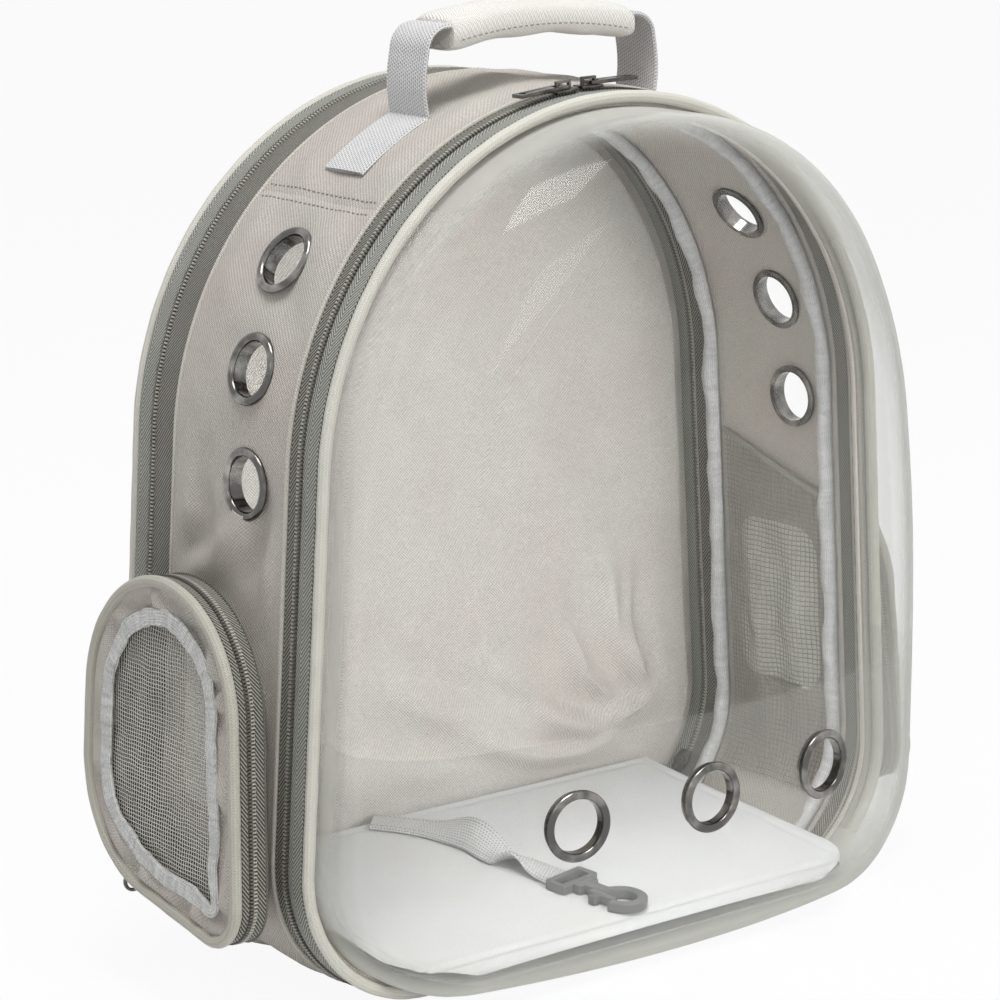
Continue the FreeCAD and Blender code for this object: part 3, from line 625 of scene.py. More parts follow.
def wave_of(look, value, pitch):
    """0 to 1 wave of one pitch, in metres."""
    turn = look.math("SINE", look.math("MULTIPLY", value, 2 * math.pi / pitch))
    return look.math("MULTIPLY_ADD", turn, 0.5, 0.5)


def shaded(look, base, shade):
    """Multiply a colour by a shade."""
    grey = look.node("ShaderNodeCombineColor", i0=shade, i1=shade, i2=shade).outputs[0]
    return look.mix(1.0, base, grey, "MULTIPLY")


def cloth(name, main, warm, cool, pitch=0.0013, grain=0.46, mottle=0.42, depth=0.0004, sheen=0.15):
    """Twill: diagonal ribs over warp and weft threads, with a mottled melange colour."""
    look = Look(name, Roughness=0.85, Sheen_Weight=sheen, Sheen_Roughness=0.45, Specular_IOR_Level=0.22)
    u, v = look.weave()
    wide = look.place(False)
    diagonal = wave_of(look, look.math("ADD", u, v), pitch)
    warp = wave_of(look, look.math("SUBTRACT", u, v), pitch * 1.5)
    threads = look.total((diagonal, 0.62), (warp, 0.38))
    fuzz = look.noise(wide, 900.0, 2.0, 0.6)
    blotch = look.noise(wide, 240.0, 3.0, 0.65)
    patch = look.noise(wide, 22.0, 2.0, 0.5)
    tint = look.total((patch, 0.85), (blotch, 0.15))
    base = look.mix(look.band(tint, 0.38, 0.62), warm, cool)
    base = look.mix(1.0 - mottle, base, main)
    shade = look.math("MULTIPLY_ADD", threads, grain, 1.0 - grain * 0.55)
    shade = look.math("MULTIPLY", shade, look.band(fuzz, 0.25, 0.75, 1.0 - grain * 0.22, 1.0 + grain * 0.2))
    shade = look.math("MULTIPLY", shade, look.band(patch, 0.3, 0.7, 0.97, 1.03))
    look.colour(shaded(look, base, shade))
    look.bump(look.math("MULTIPLY_ADD", fuzz, 0.3, threads), 0.9, depth)
    return look.material


def woven(name, fine, broad, rough, sheen, shine):
    """Material with its weave coordinates, a fine fuzz and broad patches."""
    look = Look(name, Roughness=rough, Sheen_Weight=sheen, Specular_IOR_Level=shine)
    wide = look.place(False)
    fuzz = look.noise(wide, fine, 3.0, 0.6)
    patch = look.noise(wide, broad, 3.0, 0.55)
    return look, *look.weave(), fuzz, patch


def herringbone(name, light, dark, apex, pitch):
    """Zip tape: slanted ribs that meet in a point along its middle, over fine threads along its length."""
    look, u, v, fuzz, patch = woven(name, 1000.0, 45.0, 0.7, 0.15, 0.3)
    slant = look.math("MULTIPLY", look.math("ABSOLUTE", look.math("SUBTRACT", v, apex)), 1.25)
    ribs = wave_of(look, look.math("ADD", u, slant), pitch)
    fine = wave_of(look, v, 0.0007)
    share = look.total((fuzz, 0.3), (ribs, 0.6), (fine, 0.1))
    base = look.mix(look.band(share, 0.25, 0.8), dark, light)
    look.colour(shaded(look, base, look.band(patch, 0.3, 0.7, 0.92, 1.06)))
    look.bump(look.math("MULTIPLY_ADD", fuzz, 0.3, ribs), 0.9, 0.00035)
    return look.material


def webbing(name, main, dark):
    """Plain weave webbing: raised picks in offset rows, dark between them."""
    look, u, v, fuzz, patch = woven(name, 1300.0, 50.0, 0.55, 0.2, 0.4)
    pitch = 0.0015
    rows = wave_of(look, v, pitch * 0.9)
    offset = look.math("MULTIPLY", look.math("SNAP", v, pitch * 0.9), 0.5)
    picks = wave_of(look, look.math("ADD", u, offset), pitch)
    knit = look.total((rows, 0.5), (picks, 0.5))
    share = look.total((fuzz, 0.3), (knit, 0.7))
    base = look.mix(look.band(share, 0.16, 0.55), dark, main)
    look.colour(shaded(look, base, look.band(patch, 0.3, 0.7, 0.93, 1.04)))
    look.bump(look.math("MULTIPLY_ADD", fuzz, 0.25, knit), 0.9, 0.0004)
    return look.material


def ribbed(name, main, dark):
    """Piping cover: slanted ribs broken by cross threads."""
    look, u, v, fuzz, patch = woven(name, 1100.0, 60.0, 0.7, 0.15, 0.3)
    across = wave_of(look, v, 0.0016)
    lines = wave_of(look, look.math("ADD", u, look.math("PINGPONG", v, 0.002)), 0.0012)
    weave = look.total((lines, 0.65), (across, 0.35))
    base = look.mix(look.total((fuzz, 0.35), (weave, 0.65)), dark, main)
    look.colour(look.mix(look.band(patch, 0.35, 0.65, 0.0, 0.18), base, dark))
    look.bump(look.math("MULTIPLY_ADD", fuzz, 0.4, weave), 0.85, 0.0003)
    return look.material


def gunmetal(name, main, pale, rough):
    """Dark plated metal with paler clouds."""
    look = Look(name, Metallic=1.0, Roughness=rough)
    wide = look.place(False)
    fine = look.noise(wide, 900.0, 3.0, 0.6)
    cloud = look.noise(wide, 90.0, 3.0, 0.5)
    look.colour(look.mix(look.band(cloud, 0.42, 0.72), main, pale))
    look.rough(look.band(fine, 0.3, 0.7, rough - 0.06, rough + 0.12))
    look.bump(fine, 0.12, 0.0001)
    return look.material


def moulded(name, main, rough=0.42, grain=500.0):
    """Plastic or thread of one colour, with a fine grain."""
    look = Look(name, Roughness=rough, Specular_IOR_Level=0.45)
    wide = look.place(False)
    fine = look.noise(wide, grain, 3.0, 0.6)
    cloud = look.noise(wide, 60.0, 2.0, 0.5)
    low = tuple(c * 0.86 for c in main[:3]) + (1.0,)
    look.colour(look.mix(look.band(cloud, 0.35, 0.65), main, low))
    look.rough(look.band(fine, 0.3, 0.7, rough - 0.08, rough + 0.1))
    look.bump(fine, 0.2, 0.00012)
    return look.material


def fuzzy(name, main, dark):
    """Bound edge: satin tape drawn round a seam, with loose gathers across it and a napped face; its colour darkens
    along the gathers as painted shade of their folds.
    """
    look = Look(name, Roughness=0.6, Sheen_Weight=0.3, Sheen_Roughness=0.35, Specular_IOR_Level=0.35)
    stretch = look.node("ShaderNodeMapping", Vector=look.place(), Scale=(320.0, 55.0, 1.0))
    gather_and_fold_shade = look.noise(stretch.outputs[0], 1.0, 3.0, 0.6)
    rib = wave_of(look, look.weave()[1], 0.0009)
    nap = look.noise(look.place(False), 950.0, 3.0, 0.7)
    # Nap and rib are the tape's grain; the gathers' share of the colour is painted shade in their folds.
    share = look.total((nap, 0.45), (gather_and_fold_shade, 0.4), (rib, 0.15))
    look.colour(look.mix(look.band(share, 0.28, 0.68), dark, main))
    look.bump(look.total((gather_and_fold_shade, 0.7), (nap, 0.6)), 0.8, 0.0005)
    return look.material


def clear_sheet(name, tint, haze, edge, wall, low):
    """Clear film that lets lamps through: milky edge on, along its sewn wall and in its doubled foot, and near the
    ground a milky band that is painted light over the shadow beside the mat.
    """
    look = Look(name, Roughness=0.0, IOR=1.16, Transmission_Weight=1.0, Specular_IOR_Level=0.3)
    look.colour(tint)
    wide = look.place(False)
    _, y, z = look.split(wide)
    look.bump(look.noise(wide, 24.0, 2.0, 0.5), 0.06, 0.002)
    scuff = look.noise(wide, 160.0, 4.0, 0.65)
    film = look.node("ShaderNodeBsdfTransparent", Color=(0.95, 0.95, 0.945, 1.0))
    milk = look.node("ShaderNodeBsdfDiffuse", Color=tone(192, 192, 186))
    facing = look.node("ShaderNodeLayerWeight", Blend=0.5).outputs["Facing"]
    share = look.band(facing, 0.34, 0.88, 0.0, edge)
    # The last band, near the ground, is painted light: milky film that hides the shadow beside the mat.
    for cloud in ((scuff, 0.35, 0.75, haze * 0.5, haze * 1.6), (y, -0.09, -0.08, 0.0, wall),
                  (z, 0.1176, 0.1184, low, 0.0), (z, 0.014, 0.034, 0.3, 0.0)):
        share = look.math("ADD", share, look.band(*cloud))
    share = look.math("MINIMUM", share, 0.9)
    soft = look.mix_shader(share, look.shader.outputs[0], milk.outputs[0])
    look.surface(look.mix_shader(look.ray("Shadow"), soft, film.outputs[0]))
    return look.material


# Cloth colours: main, and the warm and cool tones that mottle it
GREY = cloth("grey_twill", tone(203, 197, 190), tone(209, 197, 191), tone(198, 198, 188))
LINING = cloth("lining_twill", tone(210, 205, 199), tone(214, 204, 198), tone(206, 206, 201),
               grain=0.5, sheen=0.08)
GRIP = cloth("grip_twill", tone(242, 239, 234), tone(243, 238, 233), tone(240, 240, 234), grain=0.4)
# Cloth behind the inner net: lining fabric made much paler than the lining, partly its own pale colour and partly
# painted light for the light that comes in through the side window.
POCKET_LINING_PAINTED_LIGHT = cloth("pocket_lining", tone(244, 242, 232), tone(245, 240, 230), tone(240, 242, 232),
                      grain=0.2)
FOLD = cloth("fold_edge", tone(220, 216, 206), tone(224, 217, 208), tone(216, 214, 203),
             pitch=0.0009, grain=0.2)
WHITE = cloth("mat_canvas", tone(214, 215, 216), tone(217, 216, 214), tone(211, 213, 215),
              pitch=0.0009, grain=0.07, mottle=0.5, depth=0.00012, sheen=0.05)
CREAM = ribbed("cream_piping", tone(238, 236, 227), tone(196, 194, 183))
PIPING = ribbed("grey_piping", tone(212, 209, 198), tone(164, 161, 150))
TAPE = herringbone("zip_tape", tone(164, 162, 152), tone(42, 41, 38), 0.0122, 0.0019)
TAPE_PALE = herringbone("zip_tape_pale", tone(192, 193, 185), tone(98, 99, 93), 0.0145, 0.0019)
WALL_TAPE = herringbone("pocket_gusset", tone(176, 174, 164), tone(96, 95, 87), 0.0092, 0.0016)
COIL = moulded("zip_coil", tone(104, 102, 95), 0.42, 900.0)
BEAD = moulded("zip_teeth", tone(178, 175, 165), 0.42, 900.0)
SILVER = webbing("silver_webbing", tone(228, 228, 228), tone(150, 150, 152))
GREY_WEB = webbing("leash_weave", tone(214, 214, 214), tone(150, 150, 151))
BINDING = fuzzy("bound_edge", tone(224, 224, 224), tone(168, 169, 170))
ORGANZA = fuzzy("net_edge", tone(236, 236, 234), tone(142, 143, 140))
METAL = gunmetal("gunmetal", tone(96, 94, 92), tone(166, 163, 159), 0.12)
DARK_METAL = gunmetal("slider_metal", tone(76, 73, 70), tone(128, 124, 120), 0.22)
PLASTIC = moulded("hook_plastic", tone(112, 113, 113))
BLACK = moulded("lock_plastic", tone(96, 96, 94), 0.48)
NET = moulded("net_thread", tone(212, 210, 202), 0.6, 900.0)
NET_DARK = moulded("inner_net_thread", tone(166, 164, 157), 0.6, 900.0)
THREAD = moulded("sewing_thread", tone(150, 146, 136), 0.65, 1400.0)
CLEAR = clear_sheet("clear_pvc", (0.985, 0.99, 0.985, 1.0), haze=0.01, edge=0.72, wall=0.16, low=0.07)

# Stitches are gathered by the body that they ride on
THREADS = {body: Bits() for body in ("shell", "back_door", "handle")}


# Leash: one smooth line on the mat, and the webbing along it
MAT_SLOPE = math.atan2(12.5, 146.2)
MAT_REACH = 93.0
MAT_LOW = 20.5 - 4.0 + 4.0 / math.cos(MAT_SLOPE)
MAT_RISE = MAT_LOW + MAT_REACH * math.tan(MAT_SLOPE)
LEASH_ROUTE = [(-42.0, 50.0), (-26.0, 34.0), (-20.0, 10.0), (-18.5, -12.0), (-13.0, -30.0), (-10.0, -45.0)]
LEASH_WIDTH = 15.0
LEASH_THICK = 1.6
LEASH_SEAM = 5.6


def on_mat(u, v, h):
    """Place on the mat's slope: u across, v back along it and h above it."""
    return Vector((u, v * math.cos(MAT_SLOPE) - h * math.sin(MAT_SLOPE),
                   v * math.sin(MAT_SLOPE) + h * math.cos(MAT_SLOPE) + MAT_RISE))


def make_leash():
    lift = 0.3 + LEASH_THICK / 2
    curve = bpy.data.curves.new("leash_line", "CURVE")
    curve.dimensions = "3D"
    curve.resolution_u = 16
    spline = curve.splines.new("NURBS")
    spline.points.add(len(LEASH_ROUTE) - 1)
    for point, (u, v) in zip(spline.points, LEASH_ROUTE):
        point.co = (*(on_mat(u, v, lift) * MM), 1.0)
    spline.order_u = 3
    spline.use_endpoint_u = True
    line = linked("leash_line", curve)
    bpy.context.view_layer.update()
    graph = bpy.context.evaluated_depsgraph_get()
    walked = bpy.data.meshes.new_from_object(line.evaluated_get(graph))
    flat = [v.co / MM for v in walked.vertices]
    bpy.data.objects.remove(line)
    up = on_mat(0, 0, 1) - on_mat(0, 0, 0)
    last = len(flat) - 1
    shares = [i / last for i in range(last + 1)]
    rolls = [0.75 * bell(t, 0.42, 0.17) - 0.5 * bell(t, 0.77, 0.1) for t in shares]
    spots = [p + up * (LEASH_WIDTH / 2 * abs(math.sin(r))) for p, r in zip(flat, rolls)]
    tangents = along(spots)
    sides = [Matrix.Rotation(r, 3, t) @ up.cross(t) for t, r in zip(tangents, rolls)]
    strap = band("leash_strap", spots, tangents, sides, LEASH_WIDTH, LEASH_THICK, GREY_WEB, 0.15)
    placed(strap, "shell", "webbing", "leash_webbing")
    rim = Bits()
    for across in (-LEASH_SEAM, LEASH_SEAM):
        edge = [p + s.normalized() * across + t.cross(s).normalized() * (LEASH_THICK / 2 + 0.1)
                for p, s, t in zip(spots, sides, tangents)]
        stitch_line(rim, edge, up, 2.2, 1.5, 0.22)
    seam = placed(rim.make("leash_stitching", THREAD), "shell", "webbing")
    return strap, seam, [p * MM for p in spots]


# The camera at the photograph's viewing angle
camera = linked("camera", bpy.data.cameras.new("camera"))
camera.data.sensor_width = 36.0
camera.data.lens = 123.43
turn = Matrix(((0.78648, 0.13864, -0.60186),
               (-0.61762, 0.17295, -0.76723),
               (-0.00228, 0.97512, 0.22165)))
camera.matrix_world = Matrix.Translation((-0.89634, -1.1330, 0.5120)) @ turn.to_4x4()
bpy.context.scene.camera = camera


def refined(node, body, slot, material, bevel):
    """A hard piece with its edges eased, made from its node's mesh."""
    mesh = frame["nodes"][node].data.copy()
    work = bmesh.new()
    work.from_mesh(mesh)
    bmesh.ops.remove_doubles(work, verts=work.verts, dist=0.00001)
    bmesh.ops.dissolve_limit(work, angle_limit=math.radians(2), verts=work.verts, edges=work.edges)
    edges = [e for e in work.edges if e.is_manifold and e.calc_face_angle(0) > math.radians(35)]
    bmesh.ops.bevel(work, geom=edges, offset=bevel * MM, segments=2, profile=0.6,
                    affect="EDGES", clamp_overlap=True)
    work.to_mesh(mesh)
    work.free()
    mesh.materials.clear()
    mesh.materials.append(material)
    mesh.polygons.foreach_set("use_smooth", [True] * len(mesh.polygons))
    mesh.set_sharp_from_angle(angle=math.radians(50))
    return placed(linked(node + "_eased", mesh), body, slot, node)


def keep_node(node, material):
    """Dress a CAD node whose shape is right."""
    mesh = frame["nodes"][node].data
    mesh.materials.clear()
    mesh.materials.append(material)


leash, leash_seam, leash_path = make_leash()
hook_parts = [refined("leash_hook_base", "shell", "plastic", PLASTIC, 0.5),
              refined("leash_hook", "shell", "plastic", PLASTIC, 0.5)]
gate = refined("leash_hook_gate", "leash_gate", "plastic", PLASTIC, 0.4)
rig.cord(leash, exit=leash_path[0], length=0.105, diameter=LEASH_WIDTH * MM, far_end="fitting",
        stiffness="limp", lay="loose", path=leash_path, with_pieces=[leash_seam] + hook_parts + [gate])


# Body panels
def cut_by(obj, cutters):
    """Take the cutters out of a panel, and delete them."""
    for cutter in cutters:
        step = obj.modifiers.new("cut", "BOOLEAN")
        step.operation = "DIFFERENCE"
        step.solver = "EXACT"
        step.object = cutter
    bpy.context.view_layer.update()
    graph = bpy.context.evaluated_depsgraph_get()
    mesh = bpy.data.meshes.new_from_object(obj.evaluated_get(graph))
    obj.modifiers.clear()
    obj.data = mesh
    for cutter in cutters:
        bpy.data.objects.remove(cutter)
    mesh.set_sharp_from_angle(angle=math.radians(40))


def plug(name, points, push):
    """Closed prism from a ring of points, used for cutting."""
    count = len(points)
    verts = points + [p + push for p in points]
    faces = [tuple(range(count)), tuple(range(2 * count - 1, count - 1, -1))]
    faces += [(i, (i + 1) % count, count + (i + 1) % count, count + i) for i in range(count)]
    return mesh_object(name, verts, faces)


def vent_cutter(name, spot, out, side, radius, reach, sides):
    """Round plug through a wall at a vent, reaching to both sides along out."""
    up = out.cross(side)
    ring = [spot - out * reach + (side * c + up * s) * radius for c, s in circle(sides)]
    return plug(name, ring, out * (2 * reach))


VENT_RISES = [CROWN_R * (SEAM_TURN - LEAN) - 29.9 - 46.0 * i for i in range(3)]
VENT_YS = [-9.0 - 4.5 * i for i in range(3)]
WINDOW_CORNERS = ((-16.5, 88, 180), (10.5, 88, 270), (10.5, 140, 0), (-16.5, 140, 90))
WINDOW_R = 13
PANEL_PUFF = 0.6
SEAM_STEP = 3.2


def vent_spot(index, sign):
    """Place and outward direction of a vent in a side panel."""
    rise = VENT_RISES[index]
    turn = LEAN + max(rise, 0.0) / CROWN_R
    out = Vector((sign * math.cos(turn), 0, math.sin(turn)))
    spot = Vector((0, VENT_YS[index], CROWN_Z)) + out * CROWN_R
    if rise < 0:
        spot += Vector((-sign * math.sin(turn), 0, math.cos(turn))) * rise
    return spot, out


def side_folds(point):
    """Soft pulls in a side panel: above the pocket, by the eyelets and up the seam."""
    _, y, z = point
    slant = (y * 0.9 + z * 0.5) / 6.5 + 2.4 * noise.noise(Vector((y, z, 3)) / 26)
    fold = 4.2 * bell(z, 192, 20) * math.sin(slant)
    fold += ripple(point, 34.0, 3.4, 4.0) + ripple(point, 14.0, 1.1, 9.0)
    fold += 1.2 * bell(y, -33, 6) * math.sin(z / 9.0 + 2 * noise.noise(Vector((z, 1, 1)) / 30))
    fold += 0.9 * bell(y, 25, 6) * math.sin(z / 8.0)
    return fold


def panel_inset(s, d, w):
    """Inset of a panel's face: the outer one is puffed and folded between its sewn edges."""
    if d > WALL / 2:
        return d
    share = smooth_share(w, PANEL_FRONT + 1, PANEL_FRONT + 14)
    share *= smooth_share(-w, -PANEL_REAR + 1, -PANEL_REAR + 14)
    return d - share * (PANEL_PUFF + side_folds(BAG.put(s, d, w)) * 0.8)


def cut_side(panel, sign):
    """Open the vents and the pocket's window in a side panel."""
    cutters = []
    for index in range(3):
        spot, out = vent_spot(index, sign)
        cutters.append(vent_cutter("vent_cut", spot, out, Vector((0, 1, 0)), 12.6, 12, 32))
    lift = side_lift(sign)
    ring = []
    for y, v, turn in WINDOW_CORNERS:
        angles = [math.radians(turn + 15 * i) for i in range(7)]
        ring += [lift(y + WINDOW_R * math.cos(a), v + WINDOW_R * math.sin(a), -12) for a in angles]
    cutters.append(plug("window_cut", ring, lift(0, 0, 24) - lift(0, 0, 0)))
    cut_by(panel, cutters)


def make_panel(fabric, node, span, sign=None):
    """Padded panel sunk at its seams; a side panel has a sign, vents and a window."""
    def wave(s, d, w, k):
        d = panel_inset(s, d, w)
        end = min(s - span[0], span[1] - s)
        return d + (0.6 * bell(end, 0, 1.4) if d < WALL / 2 else 0.0), w
    panel = sweep(fabric, BAG, slab(0.0, WALL, PANEL_FRONT, PANEL_REAR, 0.8, 2.6), GREY, span, 3.2, wave)
    if sign:
        cut_side(panel, sign)
    placed(panel, "shell", "fabric_grey", node)
    for edge in [e for e in span if ZIP_SPAN[0] + 1 < e < ZIP_SPAN[1] - 1]:
        s = edge + (SEAM_STEP if edge == span[0] else -SEAM_STEP)
        line = []
        for i in range(38):
            d, w = wave(s, 0.0, PANEL_FRONT + 3 + i * 2.0, 0)
            line.append(BAG.put(s, d - 0.15, w))
        out = (BAG.put(s, -1, 0) - BAG.put(s, 0, 0)).normalized()
        stitch_line(THREADS["shell"], line, out, 3.0, 2.1, 0.3)


SEAMS = (CROWN_MID - SEAM_RUN, CROWN_MID + SEAM_RUN)
make_panel("side_fabric_right", "side_panel_right", (BAG.start(1), SEAMS[0]), 1)
make_panel("top_fabric", "top_panel", SEAMS)
make_panel("side_fabric_left", "side_panel_left", (SEAMS[1], BAG.length), -1)
for name, low in (("panel_edge_front", PANEL_FRONT - 1.4), ("panel_edge_rear", PANEL_REAR - 0.6)):
    hem = sweep(name, BAG, slab(-0.5, 1.2, low, low + 2.0, 0.8), FOLD, ZIP_SPAN, 4.0)
    placed(hem, "shell", "trim")


# Zips
def make_zip(prefix, path, span, chain, near, far, bodies, nodes, tapes, pitch):
    """Two tapes and their teeth; near and far give each tape's outer and tooth edges."""
    for i, (edge, teeth_edge) in enumerate((near, far)):
        side = "body" if i else "cover"
        teeth_edge = chain + math.copysign(CHAIN_HALF, teeth_edge - chain)
        section = slab(0.9, 2.1, *sorted((edge, teeth_edge)), 0.3)
        tape = sweep(prefix + "_tape_" + side, path, section, tapes[i], span, 4.0)
        placed(tape, bodies[i], "zip_tape", nodes[i])
        bits = teeth_run(path, chain, teeth_edge, span, pitch, 0.5 * i)
        placed(bits.make(prefix + "_teeth_" + side, BEAD if i else COIL, 50.0), bodies[i], "zip_tape")
        middle = teeth_edge + (0.5 if chain < teeth_edge else -0.5)
        core = sweep(prefix + "_cord_" + side, path, disc(1.6, middle, 0.6, 6), COIL, span, 5.0)
        placed(core, bodies[i], "zip_tape")


make_zip("front_zip", BAG, ZIP_SPAN, FRONT_CHAIN,
         (FRAME_FRONT - 0.8, COVER_TAPE_END), (PANEL_FRONT + 0.6, FRONT_TAPE_START),
         ("front_cover", "shell"), ("front_zip_cover_tape", "front_zip_gusset_tape"),
         (TAPE_PALE, TAPE), 1.6)
make_zip("rear_zip", BAG, ZIP_SPAN, REAR_CHAIN,
         (PLATE_BACK + 0.8, BACK_TAPE_START), (PANEL_REAR - 0.6, REAR_TAPE_END),
         ("back_door", "shell"), ("rear_zip_back_tape", "rear_zip_gusset_tape"),
         (TAPE_PALE, TAPE), 1.6)


# Pipings and the cover's frame
def make_piping(name, path, inset, level, radius, material, body, node, lip):
    """Covered cord with the sewn flange that it stands on."""
    def wave(s, d, w, k):
        point = path.put(s, d, w)
        puff = 1 + 0.035 * noise.noise(point / 9.0) + 0.02 * math.sin(s / 3.1)
        return inset + (d - inset) * puff, level + (w - level) * puff
    tube = sweep(name, path, disc(inset, level, radius, 14), material, None, 2.6, wave, 80.0)
    placed(tube, body, "trim", node)
    section = slab(inset - 1.0, inset + 1.2, *lip, 0.5)
    placed(sweep(name + "_flange", path, section, TAPE_PALE, None, 5.0), body, "trim")


make_piping("front_piping", BAG, PIPE_INSET - 0.6, FRONT_Y + PIPE_R, PIPE_R - 0.7, CREAM,
            "front_cover", "cover_piping", (FRAME_FRONT - 1.4, FRAME_FRONT + 0.6))
make_piping("rear_piping", BAG, PIPE_INSET - 0.6, REAR_Y - PIPE_R, PIPE_R - 0.7, CREAM,
            "back_door", "back_piping", (PLATE_BACK - 0.6, PLATE_BACK + 1.4))

cover_ring = sweep("cover_ring", BAG, slab(2.2, 9.2, FRAME_FRONT, FRAME_BACK, 0.9), GREY, None, 4.0)
placed(cover_ring, "front_cover", "fabric_grey", "cover_frame")


def flat_lip(name, y0, y1, body):
    """Folded fabric along the foot of a door, where it is sewn to the base."""
    half = CORNER_X - 0.3
    count = 40
    section = slab(0.8, 3.2, y0, y1, 0.8)
    us = [-half + 2 * half * i / count for i in range(count + 1)]
    rows = [[Vector((x, w, d + 0.25 * noise.noise(Vector((x, w, d)) / 12))) for d, w in section] for x in us]
    placed(skin(name, rows, us + [us[-1]], lengths(section), GREY), body, "fabric_grey")


flat_lip("cover_lip", FRAME_BACK - 0.6, FRONT_CHAIN - 1.2, "front_cover")
flat_lip("door_lip", REAR_CHAIN + 1.2, PLATE_FRONT + 0.6, "back_door")


def double_sheet(name, layers, material, sharp, woven):
    """Closed sheet from two faces, each given as rings from its rim inward and a last point."""
    verts, faces, rims = [], [], []
    for rings, tip in layers:
        index = []
        for ring in rings:
            index.append(range(len(verts), len(verts) + len(ring)))
            verts += ring
        count = len(rings[0])
        after = [(i + 1) % count for i in range(count)]
        for a, b in zip(index, index[1:]):
            faces += [(a[i], a[j], b[j], b[i]) for i, j in enumerate(after)]
        faces += [(index[-1][i], index[-1][j], len(verts)) for i, j in enumerate(after)]
        verts.append(tip)
        rims.append(index[0])
    a, b = rims
    faces += [(a[i], b[i], b[j], a[j]) for i, j in enumerate(after)]
    uvs = [(verts[i].x, verts[i].z) for f in faces for i in f] if woven else None
    return mesh_object(name, verts, faces, uvs, material, sharp)


def arch_sheet(name, inset, material, slot, node, shape, rings, sharp=60.0):
    """Sheet of the back door that fills the arch at an inset; shape gives its two levels at a place."""
    outer = 168
    centre = Vector((0.0, 0.0, 176.0))
    loop = [BAG.put(BAG.length * i / outer, inset, 0.0) for i in range(outer)]
    shares = [1.0 - (i / rings) ** 1.15 for i in range(rings)]

    def layer(face):
        def spot(p):
            return Vector((p.x, shape(p.x, p.z, face), p.z))
        return [[spot(centre + (p - centre) * share) for p in loop] for share in shares], spot(centre)

    sheet = double_sheet(name, [layer(0), layer(1)], material, sharp, True)
    return placed(sheet, "back_door", slot, node)


# Folds of the lining near its foot: from, to, width, height
LINING_FOLDS = [((122, 56), (56, 62), 5, 3.4), ((104, 44), (40, 84), 5, 3.2),
                ((110, 60), (70, 104), 6, 3.0), ((96, 40), (26, 52), 5, 2.8),
                ((118, 74), (98, 130), 7, 2.4), ((74, 50), (-24, 84), 9, 2.4),
                ((10, 46), (-60, 70), 10, 2.0), ((-40, 46), (-100, 96), 11, 2.2),
                ((-90, 60), (-60, 130), 10, 1.4), ((126, 66), (112, 120), 5, 2.4),
                ((60, 120), (-20, 150), 16, 1.4), ((90, 150), (40, 210), 16, 1.2)]


def fold_height(x, z):
    """Height of the lining's folds at a place, each with a hollow beside it."""
    total = 0.0
    for (x0, z0), (x1, z1), width, height in LINING_FOLDS:
        dx, dz = x1 - x0, z1 - z0
        span = math.hypot(dx, dz)
        t = ((x - x0) * dx + (z - z0) * dz) / span / span
        off = ((x - x0) * dz - (z - z0) * dx) / span
        off += 4.0 * math.sin(t * 4.0)
        end = smooth_share(t, -0.25, 0.2) * smooth_share(-t, -1.3, -0.6)
        total += height * end * (bell(off, 0, width) - 0.55 * bell(off, width * 1.5, width))
    return total


def lining_level(x, z, face):
    """The lining lies flat on the panel, and its inner face is creased."""
    if face:
        return PLATE_FRONT
    soft = ripple((x, z, 7.0), 60.0, 1.2) + ripple((x, z, 2.0), 20.0, 0.6)
    soft += 2.3 * fold_height(x, z) * smooth_share(z, 32.0, 44.0)
    return PLATE_FRONT - 2.4 - max(-1.8, min(9.0, soft)) * smooth_share(z, 18.0, 40.0)


def plate_level(x, z, face):
    """The back door's panel is flat on both faces."""
    return PLATE_BACK if face else PLATE_FRONT


arch_sheet("lining_fabric", 8.0, LINING, "lining", "back_lining", lining_level, 60)
arch_sheet("back_fabric", 2.2, GREY, "fabric_grey", "back_panel", plate_level, 40)


# Clear bubble
BUBBLE_INSET = 7.0
BUBBLE_WALL = 1.2
BUBBLE_FRONT = FRONT_Y - 60.0
CAP_R = 480.0
EDGE_R = 36.0
COVER_VENT_STEP = 67.0
COVER_VENT_Z = 82.0


def cap_level(x):
    """Level of the dome's face, which curves from side to side."""
    return BUBBLE_FRONT + CAP_R - math.sqrt(CAP_R * CAP_R - x * x)


def bubble_layer(thick):
    """Rings from the sewn rim to the middle of the dome, on its outer or inner face."""
    outer = 220
    inset = BUBBLE_INSET + thick
    radius = EDGE_R - thick

    def loop(d):
        return [BAG.put(BAG.length * i / outer, d, 0.0) for i in range(outer)]

    rings = []
    for share in (0.0, 0.25, 0.5, 0.75):
        ring = []
        for p in loop(inset):
            top = cap_level(p.x) + thick + radius
            ring.append(Vector((p.x, FRAME_FRONT + (top - FRAME_FRONT) * share, p.z)))
        rings.append(ring)
    for k in range(13):
        a = math.pi / 2 * k / 12
        rise = radius * (1 - math.sin(a))
        rings.append([Vector((p.x, cap_level(p.x) + thick + rise, p.z))
                      for p in loop(inset + radius * (1 - math.cos(a)))])
    centre = Vector((0, 0, 190.0))
    edge = loop(inset + radius)
    for k in range(1, 14):
        spots = [centre + (p - centre) * (1 - k / 14.0) for p in edge]
        rings.append([Vector((q.x, cap_level(q.x) + thick, q.z)) for q in spots])
    tip = Vector((centre.x, cap_level(centre.x) + thick, centre.z))
    for p in [p for ring in rings for p in ring]:
        p.y += ripple(p, 70.0, 0.8, 5.0) * smooth_share(-p.y, 70.0, 110.0)
        swell = math.sin(math.pi * min(max((p.z - 30.0) / 250.0, 0.0), 1.0))
        swell *= smooth_share(-p.y, 66.0, 96.0)
        p.x += math.copysign(7.0 * swell * smooth_share(abs(p.x), 60.0, 150.0), p.x)
    return rings, tip


